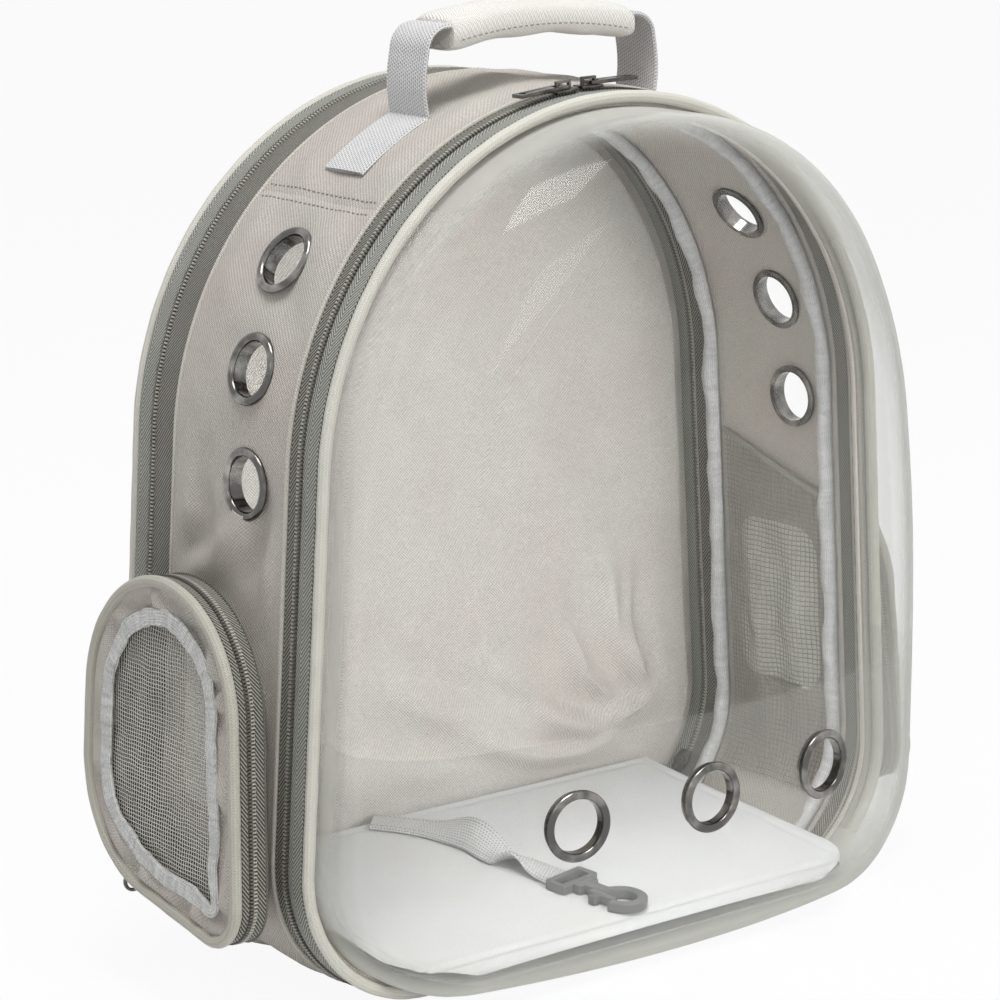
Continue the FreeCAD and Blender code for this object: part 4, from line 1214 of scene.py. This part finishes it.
def make_dome():
    layers = [bubble_layer(0.0), bubble_layer(BUBBLE_WALL)]
    dome = double_sheet("clear_dome", layers, CLEAR, 80.0, False)
    cutters = []
    for i in (-1, 0, 1):
        lean = math.asin(i * COVER_VENT_STEP / CAP_R)
        out = Vector((math.sin(lean), -math.cos(lean), 0))
        spot = Vector((0, BUBBLE_FRONT + CAP_R, COVER_VENT_Z)) + out * CAP_R
        cutters.append(vent_cutter("cover_vent_cut", spot, out, Vector((0, 0, 1)), 12.2, 9, 40))
    cut_by(dome, cutters)
    dome.data.set_sharp_from_angle(angle=math.radians(50))
    placed(dome, "front_cover", "clear_pvc", "cover_bubble")


make_dome()


# Eyelets
keep_node("side_grommets", METAL)
keep_node("cover_grommets", METAL)


# Bound seams inside
def make_binding(name, level, span, node, seed):
    profile = slab(3.1, 9.2, level - 3.2, level + 3.2, 2.4, 1.4)
    def wave(s, d, w, k):
        share = smooth_share(d, 3.2, 8.0)
        point = BAG.put(s, d, w)
        fine = ripple(point, 5.0, 0.35, seed)
        inward = ripple(point, 14.0, 1.6, seed) - 0.3 + fine
        across = ripple(point, 19.0, 2.2, seed + 5) + fine
        return d + share * inward, w + share * across
    piece = sweep(name, BAG, profile, BINDING, span, 2.8, wave, 80.0)
    placed(piece, "shell", "trim", node)


make_binding("front_seam_binding", PANEL_FRONT + 4.5, ZIP_SPAN, "front_inner_binding", 1.0)
make_binding("rear_seam_binding", PANEL_REAR, None, "rear_inner_binding", 3.0)


# Nets
def crossing(polygon, value, axis):
    """Where a line of one coordinate enters and leaves a convex outline."""
    hits = []
    for a, b in zip(polygon, polygon[1:] + polygon[:1]):
        if (a[axis] - value) * (b[axis] - value) < 0:
            t = (value - a[axis]) / (b[axis] - a[axis])
            hits.append(a[1 - axis] + (b[1 - axis] - a[1 - axis]) * t)
    return (min(hits), max(hits)) if len(hits) > 1 else None


def net_threads(name, lift, polygon, level, pitch, radius, sag, material, body, node):
    """Knitted net inside a convex outline: two sets of waving threads that meet at knots."""
    verts, faces = [], []
    out = (lift(0, 0, 1) - lift(0, 0, 0)).normalized()

    def spot(u, v):
        du = 0.32 * pitch * noise.noise(Vector((u, v, 1.0)) / 9.0)
        dv = 0.32 * pitch * noise.noise(Vector((u, v, 8.0)) / 9.0)
        return lift(u + du, v + dv, level + sag(u, v))

    def thread(line):
        """Three-sided tube along a line."""
        base, end = len(verts), len(verts) + 3 * (len(line) - 1)
        for p, t in zip(line, along(line)):
            side = t.cross(out).normalized()
            verts.extend(p + (side * c + out * s) * radius for c, s in circle(3))
        for i in range(base, end, 3):
            faces.extend((i + k, i + m, i + 3 + m, i + 3 + k) for k, m in ((0, 1), (1, 2), (2, 0)))
        faces.extend([(base, base + 2, base + 1), (end, end + 1, end + 2)])

    for axis in (0, 1):
        value = min(p[axis] for p in polygon) + pitch / 2
        high = max(p[axis] for p in polygon)
        while value < high:
            ends = crossing(polygon, value, axis)
            if ends and ends[1] - ends[0] > pitch:
                count = max(2, int((ends[1] - ends[0]) / pitch))
                others = [ends[0] + (ends[1] - ends[0]) * i / count for i in range(count + 1)]
                thread([spot(other, value) if axis else spot(value, other) for other in others])
            value += pitch
    placed(mesh_object(name, verts, faces, None, material, 80.0, False), body, "net", node)


# The inner net is a sheet with a slanted top, behind the side panel
NET_FRONT = -36
NET_REAR = 29
NET_FOOT = 32
NET_TOPS = (171, 192)
NET_OUTLINE = [(NET_FRONT, NET_FOOT), (NET_REAR, NET_FOOT), (NET_REAR, NET_TOPS[1]), (NET_FRONT, NET_TOPS[0])]


def net_sag(u, v):
    """The inner net hangs in from the panel, gathers in upright folds and turns in with the foot."""
    full = max(0.0, math.sin((v - NET_FOOT) / (NET_TOPS[1] - NET_FOOT) * math.pi))
    full *= max(0.0, math.sin((u - NET_FRONT) / (NET_REAR - NET_FRONT) * math.pi))
    pleat = 2.0 * math.sin(u / 4.6 + 3.0 * noise.noise(Vector((u, v, 6)) / 34)) * smooth_share(-v, -176, -120)
    foot = CORNER_R - math.sqrt(CORNER_R ** 2 - max(0.0, CORNER_R - v) ** 2)
    return -foot * 1.3 - 5.0 * full - full * pleat - 0.8 - 1.6 * smooth_share(-v, -70.0, -45.0)


def sheet_solid(name, spot, nu, nv, material):
    """Thin closed sheet; spot(i, j, face) gives its points over a grid of shares."""
    verts, faces = [], []
    for face in (0, 1):
        verts += [spot(i / nu, j / nv, face) for j in range(nv + 1) for i in range(nu + 1)]
    half = (nu + 1) * (nv + 1)
    for j in range(nv):
        for i in range(nu):
            a = j * (nu + 1) + i
            faces.append((a, a + 1, a + nu + 2, a + nu + 1))
            faces.append((half + a, half + a + nu + 1, half + a + nu + 2, half + a + 1))
    rim = list(range(nu + 1)) + [(j + 1) * (nu + 1) - 1 for j in range(1, nv + 1)]
    rim += [nv * (nu + 1) + i for i in range(nu - 1, -1, -1)] + [j * (nu + 1) for j in range(nv - 1, 0, -1)]
    for a, b in zip(rim, rim[1:] + rim[:1]):
        faces.append((a, half + a, half + b, b))
    uvs = [(verts[i].y, verts[i].z) for f in faces for i in f]
    return mesh_object(name, verts, faces, uvs, material, 70.0)


def make_inner_net(key):
    lift = side_lift(SIGNS[key])
    net_threads("inner_net_" + key, lift, NET_OUTLINE, -3.7, 2.3, 0.25, net_sag, NET_DARK,
                "shell", "side_net_" + key)

    def crumple(a, b, face):
        u, v = -28.5 + 51.0 * a, 76.0 + 76.0 * b
        bulge = math.sin(a * math.pi) * math.sin(b * math.pi)
        crease = noise.noise(Vector((u * 1.7, v * 0.45, 3)) / 9) + 0.6 * noise.noise(Vector((u, v, 9)) / 6)
        return lift(u, v, -1.6 - 2.2 * bulge + max(bulge, 0.0) ** 0.5 * crease * 2.6 + (0.4 if face else 0.0))

    # The cloth behind the window takes the pocket lining tone, whose paleness is partly painted light.
    placed(sheet_solid("pocket_back_cloth_" + key, crumple, 30, 44, POCKET_LINING_PAINTED_LIGHT), "shell", "lining")
    hem = []
    for i in range(25):
        u = NET_FRONT + (NET_REAR - NET_FRONT) * i / 24
        v = NET_TOPS[0] + (NET_TOPS[1] - NET_TOPS[0]) * i / 24
        hem.append(lift(u, v, -3.9 + net_sag(u, v)))
    sides = [lift(0, 1, 0) - lift(0, 0, 0)] * len(hem)
    placed(band("net_hem_" + key, hem, along(hem), sides, 2.6, 0.7, NET_DARK, 0.1), "shell", "net")


make_inner_net("left")
make_inner_net("right")


# Pockets: levels out from the side panel, and insets from the pocket's outline
WALL_FOOT = 0.3
WALL_RISE = 10.0
POCKET_CHAIN = 16.7
FACE_IN = 22.8
FACE_OUT = 24.3
FACE_REACH = 17.4
BINDING_START = 12.6


def zip_part(path):
    """Run of a pocket's outline that is zipped: all but its sewn rear edge."""
    count = 900
    marks = []
    for s in [path.length * i / count for i in range(count)]:
        _, v, nu, _ = path.at(s)
        if nu > 0.85 and abs(v - POCKET_CIRCLES[2][1]) < 20.0:
            marks.append(s)
    low, high = min(marks), max(marks)
    return (high, low + path.length) if high - low < path.length / 2 else (low, high)


def make_pocket_wall(key):
    path = POCKETS[key]
    door = "pocket_door_" + key
    shares = [k / 9 for k in range(10)]
    outer = [(14.0 * (1 - t) ** 0.8, WALL_FOOT + WALL_RISE * t) for t in shares]
    inner = [(d + 1.6, w) for d, w in reversed(outer)]
    def wave(s, d, w, k):
        share = math.sin(min(max((w - WALL_FOOT) / WALL_RISE, 0), 1) * math.pi)
        return d + share * (ripple(path.put(s, d, w), 16.0, 1.6, 2.0) + 0.6 * math.sin(s / 9.0)), w
    wall = sweep("pocket_wall_fabric_" + key, path, outer + inner, WALL_TAPE, None, 3.0, wave, 60.0)
    placed(wall, "shell", "fabric_grey", "pocket_wall_" + key)
    span = zip_part(path)
    make_zip("pocket_zip_" + key, path, span, POCKET_CHAIN, (21.6, 19.0), (10.2, 14.4), (door, "shell"),
             ("pocket_zip_door_tape_" + key, "pocket_zip_wall_tape_" + key), (TAPE, TAPE), 1.5)
    strips = (("pocket_hinge_", 10.2, 16.4, "shell"), ("pocket_hinge_door_", 16.9, 22.2, door))
    for name, low, high, body in strips:
        section = slab(0.9, 2.3, low, high, 0.5)
        strip = sweep(name + key, path, section, GREY, (span[1] - path.length, span[0]), 4.0)
        placed(strip, body, "fabric_grey")


def make_pocket_door(key):
    path = POCKETS[key]
    door = "pocket_door_" + key
    make_piping("pocket_piping_roll_" + key, path, 2.3, 24.2, 2.5, PIPING, door, "pocket_piping_" + key,
                (21.4, 23.0))

    def face_wave(s, d, w, k):
        share = smooth_share(w, 23.4, FACE_OUT) * smooth_share(d, 4.5, 7.0)
        spot = path.put(s, d, w)
        rim = smooth_share(-d, -14.6, -12.0)
        crease = 1.9 * math.sin(s / 6.0 + 5 * noise.noise(spot / 24)) * smooth_share(d, 4.8, 8.0) * rim
        return d, w + share * (ripple(spot, 15.0, 1.2, 6.0) * rim + crease)

    section = slab(3.2, 17.0, FACE_IN, FACE_OUT, 0.6, 1.3)
    panel = sweep("pocket_face_" + key, path, section, GREY, None, 3.0, face_wave)
    placed(panel, door, "fabric_grey", "pocket_panel_" + key)
    first, last = path.start(5), path.start(6)

    def room(s):
        """Inset that the binding may reach: less where the outline turns in its small corner."""
        if first <= s <= last:
            return FACE_REACH
        off = min(abs(s - first), abs(s - last), abs(s - path.length - first), abs(s + path.length - last))
        return min(FACE_REACH + 0.2 * off, 21.5)

    def edge_wave(s, d, w, k):
        point = path.put(s, 13.0, 25.0)
        wobble = ripple(point, 26.0, 3.4, 8.0) + ripple(point, 7.0, 1.3, 2.0 + (k % 3))
        limit = room(s) - 1.6 * (1 - (d - BINDING_START) / 7.0)
        spot = path.put(s, d, w)
        return min(d + wobble * 0.8, limit), w + ripple(spot, 7.0, 0.6, 3.0) + ripple(spot, 15.0, 1.0, 6.0)

    section = slab(BINDING_START, BINDING_START + 7.0, 24.4, 25.9, 0.7, 1.0)
    binding = sweep("pocket_net_binding_" + key, path, section, ORGANZA, None, 2.0, edge_wave, 80.0)
    placed(binding, door, "trim", "pocket_binding_" + key)

    def sag(u, v):
        return 1.2 * noise.noise(Vector((u, v, 4)) / 26)

    net_threads("pocket_net_knit_" + key, path.lift, path.polygon(13.0, 160), 22.7, 1.7, 0.2, sag, NET,
                door, "pocket_net_" + key)


for key in SIGNS:
    make_pocket_wall(key)
    make_pocket_door(key)


# Floor mat, base and board
MAT_FRONT = -97.0
MAT_BACK = 57.2
MAT_MID = (MAT_FRONT + MAT_BACK) / 2
MAT_DEPTH = MAT_BACK - MAT_FRONT
MAT_HALF = 125.0
MAT_UNDER = 10.2


def mat_spot(a, b, face):
    """Place on the mat: a across and b from front to rear, both -1 to 1; face 0 is its top."""
    x = a * MAT_HALF * (1 - 0.012 * (1 - b * b))
    y = MAT_MID + b * MAT_DEPTH / 2 * (1 - 0.01 * (1 - a * a))
    corner = 34.0 if b < 0 else 6.0
    ex = max(0.0, abs(x) - (MAT_HALF - corner)) / corner
    ey = max(0.0, abs(y - MAT_MID) - (MAT_DEPTH / 2 - corner)) / corner
    over = math.hypot(ex, ey)
    if over > 1:
        x -= math.copysign((ex - ex / over) * corner, x)
        y -= math.copysign((ey - ey / over) * corner, b)
    edge = min(MAT_HALF - abs(x), y - MAT_FRONT, MAT_BACK - y)
    top = MAT_LOW + (y + MAT_REACH) * math.tan(MAT_SLOPE)
    bottom = MAT_UNDER + (14.6 - MAT_UNDER) * (y - MAT_FRONT) / MAT_DEPTH
    bottom = max(bottom, MAT_UNDER + (abs(x) - 92.0) / 33.0 * 10.4)
    rim = (top + bottom) / 2
    crown = round_end(min(1.0, max(0.0, edge) / 7.0))
    if face:
        return Vector((x, y, rim + (bottom - rim) * crown))
    puff = ripple((x, y, 3.0), 40.0, 0.35) * smooth_share(edge, 4.0, 20.0)
    puff -= 0.9 * bell(edge, 8.5, 2.0)
    return Vector((x, y, rim + ((top - 0.25 + min(puff, 0.2)) - rim) * crown))


def make_mat():
    def steps(count):
        """Even turns of a sine, so that the grid is finer at the mat's edges."""
        turns = [(i / count - 0.5) * math.pi * 0.97 for i in range(count + 1)]
        return [math.sin(turn) / math.sin(math.pi * 0.485) for turn in turns]

    across, back = steps(110), steps(80)
    width = len(across)
    verts, faces = [], []
    for face in (0, 1):
        base = len(verts)
        verts += [mat_spot(a, b, face) for b in back for a in across]
        for row in range(base, len(verts) - width, width):
            faces += [(i, i + 1, i + 1 + width, i + width) for i in range(row, row + width - 1)]
    uvs = [(verts[i].x, verts[i].y) for f in faces for i in f]
    mat = mesh_object("mat_cushion", verts, faces, uvs, WHITE, 70.0)
    work = bmesh.new()
    work.from_mesh(mat.data)
    bmesh.ops.remove_doubles(work, verts=work.verts, dist=0.0002)
    bmesh.ops.recalc_face_normals(work, faces=work.faces)
    work.to_mesh(mat.data)
    work.free()
    placed(mat, "shell", "white_mat", "floor_mat")
    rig.padded(mat, fill=0.6)


make_mat()
BASE_XS = [-CORNER_X + 2 * CORNER_X * i / 48 for i in range(49)]


def across_base(name, section, spot):
    """Grey fabric strip over the width of the base; spot places a section's point at an x."""
    rows = [[spot(x, *point) for point in section] for x in BASE_XS]
    return skin(name, rows, BASE_XS + [BASE_XS[-1]], lengths(section), GREY)


def base_spot(x, d, w):
    puff = 0.25 * (noise.noise(Vector((x, w, 0)) / 20) + 0.4) if d < 1 else 0.0
    return Vector((x, w, d + puff))


base_section = slab(0.0, WALL, FRONT_CHAIN + 1.2, REAR_CHAIN - 1.2, 1.0, 4.0)
placed(across_base("base_fabric", base_section, base_spot), "shell", "fabric_grey", "base_panel")
keep_node("base_board", BLACK)


def make_hinge(name, chain, sign, door):
    """Fabric fold that joins the base to a door: it stays sewn to both as the door swings."""
    run = [(-4.2, 0.9), (-1.6, 0.9), (-0.6, 1.0), (0.4, 1.4), (1.2, 2.0), (2.0, 2.6), (5.4, 3.0)]
    section = [(y, z + 0.5) for y, z in run] + [(y, z - 0.5) for y, z in reversed(run)]
    if sign < 0:
        section.reverse()
    fold = across_base(name, section, lambda x, y, z: Vector((x, chain + sign * y, z)))
    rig.blend(fold, "shell", door, (0.0, (chain - sign * 1.6) * MM, 0.0),
             (0.0, (chain + sign * 1.8) * MM, 0.0))
    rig.slot(fold, "fabric_grey")


make_hinge("front_hinge_fold", FRONT_CHAIN, -1, "front_cover")
make_hinge("rear_hinge_fold", REAR_CHAIN, 1, "back_door")


# Handle
HANDLE_Y = -8.0
HANDLE_W = 25.0
HANDLE_THICK = 1.7
HANDLE_X = 61.0
HANDLE_TOP = 392.0
HANDLE_BEND = 10.2
PIVOT_Z = CROWN_Z + math.sqrt(CROWN_R ** 2 - HANDLE_X ** 2) + 13.4
GRIP_HALF = 48.0
GRIP_W = 29.0
GRIP_H = 15.0
GRIP_Z = HANDLE_TOP - 0.8 - 1.5
ROUND = 28


def grip_bow(x):
    """Rise of the grip's middle above its ends."""
    return 2.6 - 5.0 * (x / GRIP_HALF) ** 2


def make_handle_strap():
    foot = PIVOT_Z - 11.6
    bend = HANDLE_TOP - 11.0
    x = HANDLE_X - 0.8
    half = []
    for i in range(9):
        half.append(Vector((x + 1.6 * math.sin(i / 8 * math.pi), HANDLE_Y, foot + (bend - foot) * (i / 8))))
    for i in range(1, 9):
        a = math.pi / 2 * i / 8
        half.append(Vector((x - HANDLE_BEND + HANDLE_BEND * math.cos(a), HANDLE_Y,
                            bend + HANDLE_BEND * math.sin(a))))
    top = [Vector((GRIP_HALF - 6.0 * i, HANDLE_Y, HANDLE_TOP - 0.8)) for i in range(17)]
    spots = half + top + [Vector((-p.x, p.y, p.z)) for p in reversed(half)]
    sides = [Vector((0, 1, 0))] * len(spots)
    strap = band("handle_strap", spots, along(spots), sides, HANDLE_W, HANDLE_THICK, SILVER, 0.2)
    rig.blend(strap, "shell", "handle", (0.0, HANDLE_Y * MM, foot * MM),
             (0.0, HANDLE_Y * MM, (PIVOT_Z + 6.0) * MM))
    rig.slot(strap, "webbing")
    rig.replaces(strap, "handle_webbing")


def make_grip():
    us = [-GRIP_HALF + 2 * GRIP_HALF * i / 40 for i in range(41)]
    rows = []
    for x in us:
        swell = 0.80 + 0.20 * round_end(min(1.0, (GRIP_HALF - abs(x)) / 7.0))
        row = []
        for c, s in circle(ROUND):
            y = squarer(c, 0.55) * GRIP_W / 2 * (0.92 + 0.08 * swell)
            z = squarer(s, 0.62) * GRIP_H / 2 * swell
            z += ripple((x, y, z), 16.0, 0.5) * 0.8 + (0.35 * math.sin(x / 5.0) if s < -0.5 else 0.0)
            row.append(Vector((x, HANDLE_Y + y, GRIP_Z + z + grip_bow(x))))
        rows.append(row)
    section = [(c * GRIP_W / 2, s * GRIP_H / 2) for c, s in circle(ROUND)]
    grip = skin("handle_grip_sleeve", rows, us + [us[-1]], lengths(section), GRIP, False, 70.0)
    placed(grip, "handle", "fabric_grey", "handle_grip")
    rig.padded(grip, fill=0.7)
    for sign in (-1, 1):
        y = HANDLE_Y + sign * GRIP_W / 2
        row = [Vector((x, y, GRIP_Z - 2.6 + grip_bow(x))) for x in (-45 + 3.0 * i for i in range(31))]
        stitch_line(THREADS["handle"], row, Vector((0, sign, 0)), 3.0, 2.1, 0.3)


def make_handle_tab(key):
    """Sewn end of the handle's webbing, along the crown."""
    r = CROWN_R + 1.15
    a0 = math.acos((HANDLE_X - 1.0) / CROWN_R)
    a1 = math.acos(93.0 / CROWN_R)
    turns = [a0 + (a1 - a0) * i / 16 for i in range(17)]
    spots = [Vector((SIGNS[key] * r * math.cos(a), HANDLE_Y, CROWN_Z + r * math.sin(a))) for a in turns]
    sides = [Vector((0, 1, 0))] * len(spots)
    tab = band("handle_tab_" + key, spots, along(spots), sides, HANDLE_W, HANDLE_THICK, SILVER, 0.1)
    placed(tab, "shell", "webbing", "handle_tabs")


make_handle_strap()
make_grip()
make_handle_tab("left")
make_handle_tab("right")


# Back pad, straps and their fittings
PAD_INSET = 20.0
PAD_HEIGHT = 9.0
PAD_CORNER = 42.0
PAD_CHANNELS = (-52.0, 0.0, 52.0)
STRAP_TURN = math.radians(9.0)
STRAP_LENGTH = 160.0
STRAP_HALF = 26.0
STRAP_BOW = 20.0
STRAP_MID = PAD_BACK + 0.3 + 4.5
BOW_R = ((STRAP_LENGTH / 2) ** 2 + STRAP_BOW ** 2) / (2 * STRAP_BOW)
TAIL_X = 104.0
TAIL_Z = 46.0


def pad_level(x, z, face):
    """Face of the quilted pad: round at its rim and sunk at the sewn channels."""
    if not face:
        return PLATE_BACK
    if z > CROWN_Z:
        rim = CROWN_R - PAD_INSET - math.hypot(x, z - CROWN_Z)
    else:
        side = (160.0 - abs(z - 62) * 0.064) - PAD_INSET - abs(x)
        rim = min(side, z - PAD_INSET)
        if max(side, z - PAD_INSET) < PAD_CORNER:
            rim = PAD_CORNER - math.hypot(PAD_CORNER - side, PAD_CORNER - (z - PAD_INSET))
    share = round_end(min(1.0, max(0.0, rim) / 9.0))
    dip = sum(0.5 * math.exp(-(abs(x - line) / 4.2) ** 1.6) for line in PAD_CHANNELS)
    crown = 0.03 * noise.noise(Vector((x, z, 5.0)) / 26.0)
    return PLATE_BACK + PAD_HEIGHT * max(0.0, share * (1.0 - dip + crown - 0.02))


pad = arch_sheet("back_cushion", PAD_INSET, GREY, "fabric_grey", "back_pad", pad_level, 64, 80.0)
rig.padded(pad, fill=0.6)


def strap_pose(sign, x, y, z):
    """Strap places: x across, z down from its sewn top, turned outward."""
    px = x * math.cos(STRAP_TURN) - z * math.sin(STRAP_TURN)
    pz = x * math.sin(STRAP_TURN) + z * math.cos(STRAP_TURN)
    return Vector((sign * (px + 46.0), y, pz + 318.0))


def on_strap(sign, x, lift, z):
    """Place on the bowed strap, lifted from its middle."""
    bow = math.sqrt(BOW_R ** 2 - (z + STRAP_LENGTH / 2) ** 2) - (BOW_R - STRAP_BOW)
    return strap_pose(sign, x, STRAP_MID + bow + lift, z)


def make_strap(key):
    sign = SIGNS[key]
    bits = THREADS["back_door"]
    out = Vector((0, 1, 0))
    us = [STRAP_LENGTH * i / 56 for i in range(57)]
    rows = []
    for z in [-u for u in us]:
        end = min(1.0, min(-z, z + STRAP_LENGTH) / 8.0)
        swell = 0.72 + 0.28 * round_end(end)
        row = []
        for k, (c, s) in enumerate(circle(ROUND)):
            x = squarer(c, 0.4) * STRAP_HALF * (0.94 + 0.06 * end)
            flat = 1.0 - 0.22 * smooth_share(abs(x), 16.0, STRAP_HALF)
            y = squarer(s, 0.6) * 4.4 * swell * flat
            y += ripple((x, z, 2 * math.pi * k / ROUND), 22.0, 0.5, sign)
            row.append(on_strap(sign, x, y, z))
        rows.append(row)
    section = [(c * STRAP_HALF, s * 4.5) for c, s in circle(ROUND)]
    strap = skin("strap_pad_" + key, rows, us + [us[-1]], lengths(section), GREY, False, 70.0)
    placed(strap, "back_door", "fabric_grey", "shoulder_strap_" + key)
    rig.padded(strap, fill=0.6)
    zs = [-2.5 - 155.0 * i / 56 for i in range(57)]
    for across in (-21.0, 21.0):
        stitch_line(bits, [on_strap(sign, across, 3.9, z) for z in zs], out, 3.4, 2.4, 0.32)
    line = [on_strap(sign, 0.0, 5.1, z) for z in zs]
    sides = [strap_pose(sign, 1, 0, 0) - strap_pose(sign, 0, 0, 0)] * len(line)
    web = band("strap_ribbon_" + key, line, along(line), sides, 20.0, 1.0, SILVER, 0.1)
    placed(web, "back_door", "webbing")
    make_tail(key, sign, bits, out)
    for drop in (4.0, 7.0):
        line = [on_strap(sign, -20.0 + 4.0 * i, 3.9, -drop) for i in range(11)]
        stitch_line(bits, line, out, 2.8, 2.0, 0.32)


def make_tail(key, sign, bits, out):
    """Webbing from the strap's foot to the door's lower corner, with its box stitch."""
    head = strap_pose(sign, 0.0, 0.0, -164.3)
    start = STRAP_MID - 2.25 - 0.3 - 0.9
    end = PAD_BACK + 0.3 + 0.9
    spots = []
    for t in [i / 32 for i in range(33)]:
        y = start + (end - start) * t + 1.4 * math.sin(t * math.pi)
        spots.append(Vector((head.x + (sign * TAIL_X - head.x) * t, y, head.z + (TAIL_Z - head.z) * t)))
    side = (spots[-1] - spots[0]).cross(out)
    tail = band("strap_tail_" + key, spots, along(spots), [side] * 33, 25.0, 1.7, SILVER, 0.1)
    placed(tail, "back_door", "webbing", "strap_webbings")
    run = (spots[-1] - spots[0]).normalized()
    middle = spots[-1] - run * 13.0 + out
    corners = ((-1, -1), (-1, 1), (1, 1), (1, -1), (-1, -1), (1, 1))
    box = [middle + run * (a * 9.0) + side.normalized() * (b * 9.0) for a, b in corners]
    stitch_line(bits, box, out, 2.6, 1.8, 0.3)


make_strap("right")
make_strap("left")
refined("ladder_locks", "back_door", "plastic", BLACK, 0.6)

# Sliders and pulls
for name in ("front_{}_left", "pocket_{}_left", "front_{}_right", "pocket_{}_right", "rear_{}"):
    for kind in ("slider", "pull"):
        refined(name.format(kind), name.format(kind), "gunmetal", DARK_METAL, 0.3)

for body, bits in THREADS.items():
    placed(bits.make("stitching_" + body, THREAD, 80.0), body, "trim")


# Floor, light and world
FLOOR_HALF = 14.0
FLOOR_Z = -0.0006
FILM_SHARE = 0.93
WORLD_LIGHT = 0.33


def make_floor():
    """Film that takes the shadow, and lets an open door be seen where it reaches below the floor."""
    mesh = bpy.data.meshes.new("floor")
    corners = ((-1, -1), (1, -1), (1, 1), (-1, 1))
    mesh.from_pydata([(a * FLOOR_HALF, b * FLOOR_HALF, FLOOR_Z) for a, b in corners], [], [(0, 1, 2, 3)])
    look = Look("floor_pale", Roughness=0.9)
    look.colour(tone(240, 240, 240))
    film = look.node("ShaderNodeBsdfTransparent").outputs[0]
    share = look.math("MAXIMUM", look.math("MULTIPLY", look.seen(), FILM_SHARE), look.ray("Shadow"))
    look.surface(look.mix_shader(share, look.shader.outputs[0], film))
    mesh.materials.append(look.material)
    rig.stage(linked("floor", mesh))


def make_world():
    """White to the rays that show the ground, and dimmer as light."""
    world = bpy.data.worlds.new("studio")
    bpy.context.scene.world = world
    world.use_nodes = True
    look = Nodes(world.node_tree)
    back = world.node_tree.nodes["Background"]
    back.inputs["Color"].default_value = (1, 1, 1, 1)
    look.feed(back.inputs["Strength"], look.band(look.seen(), 0.0, 1.0, WORLD_LIGHT, 1.0))


def lamp(name, place, size, power, mirrored=True):
    """Square lamp that faces the carrier."""
    data = bpy.data.lights.new(name, "AREA")
    data.shape = "SQUARE"
    data.size = size
    data.energy = power
    obj = linked(name, data)
    obj.location = place
    obj.rotation_euler = (Vector((0, 0, 0.2)) - Vector(place)).to_track_quat("-Z", "Y").to_euler()
    obj.visible_glossy = mirrored


make_floor()
make_world()
lamp("key", (0.0, -2.3, 0.75), 0.9, 15.0, False)
lamp("fill", (-1.9, -0.9, 1.5), 0.8, 2.2)
lamp("top", (-0.25, -0.3, 2.0), 0.9, 25.0)
bpy.context.scene.view_settings.view_transform = "Standard"

new_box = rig.bounds()
with open("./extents.json", "w") as out:
    json.dump({"cad": [list(cad_box[0]), list(cad_box[1])], "visual": [list(new_box[0]), list(new_box[1])]}, out)
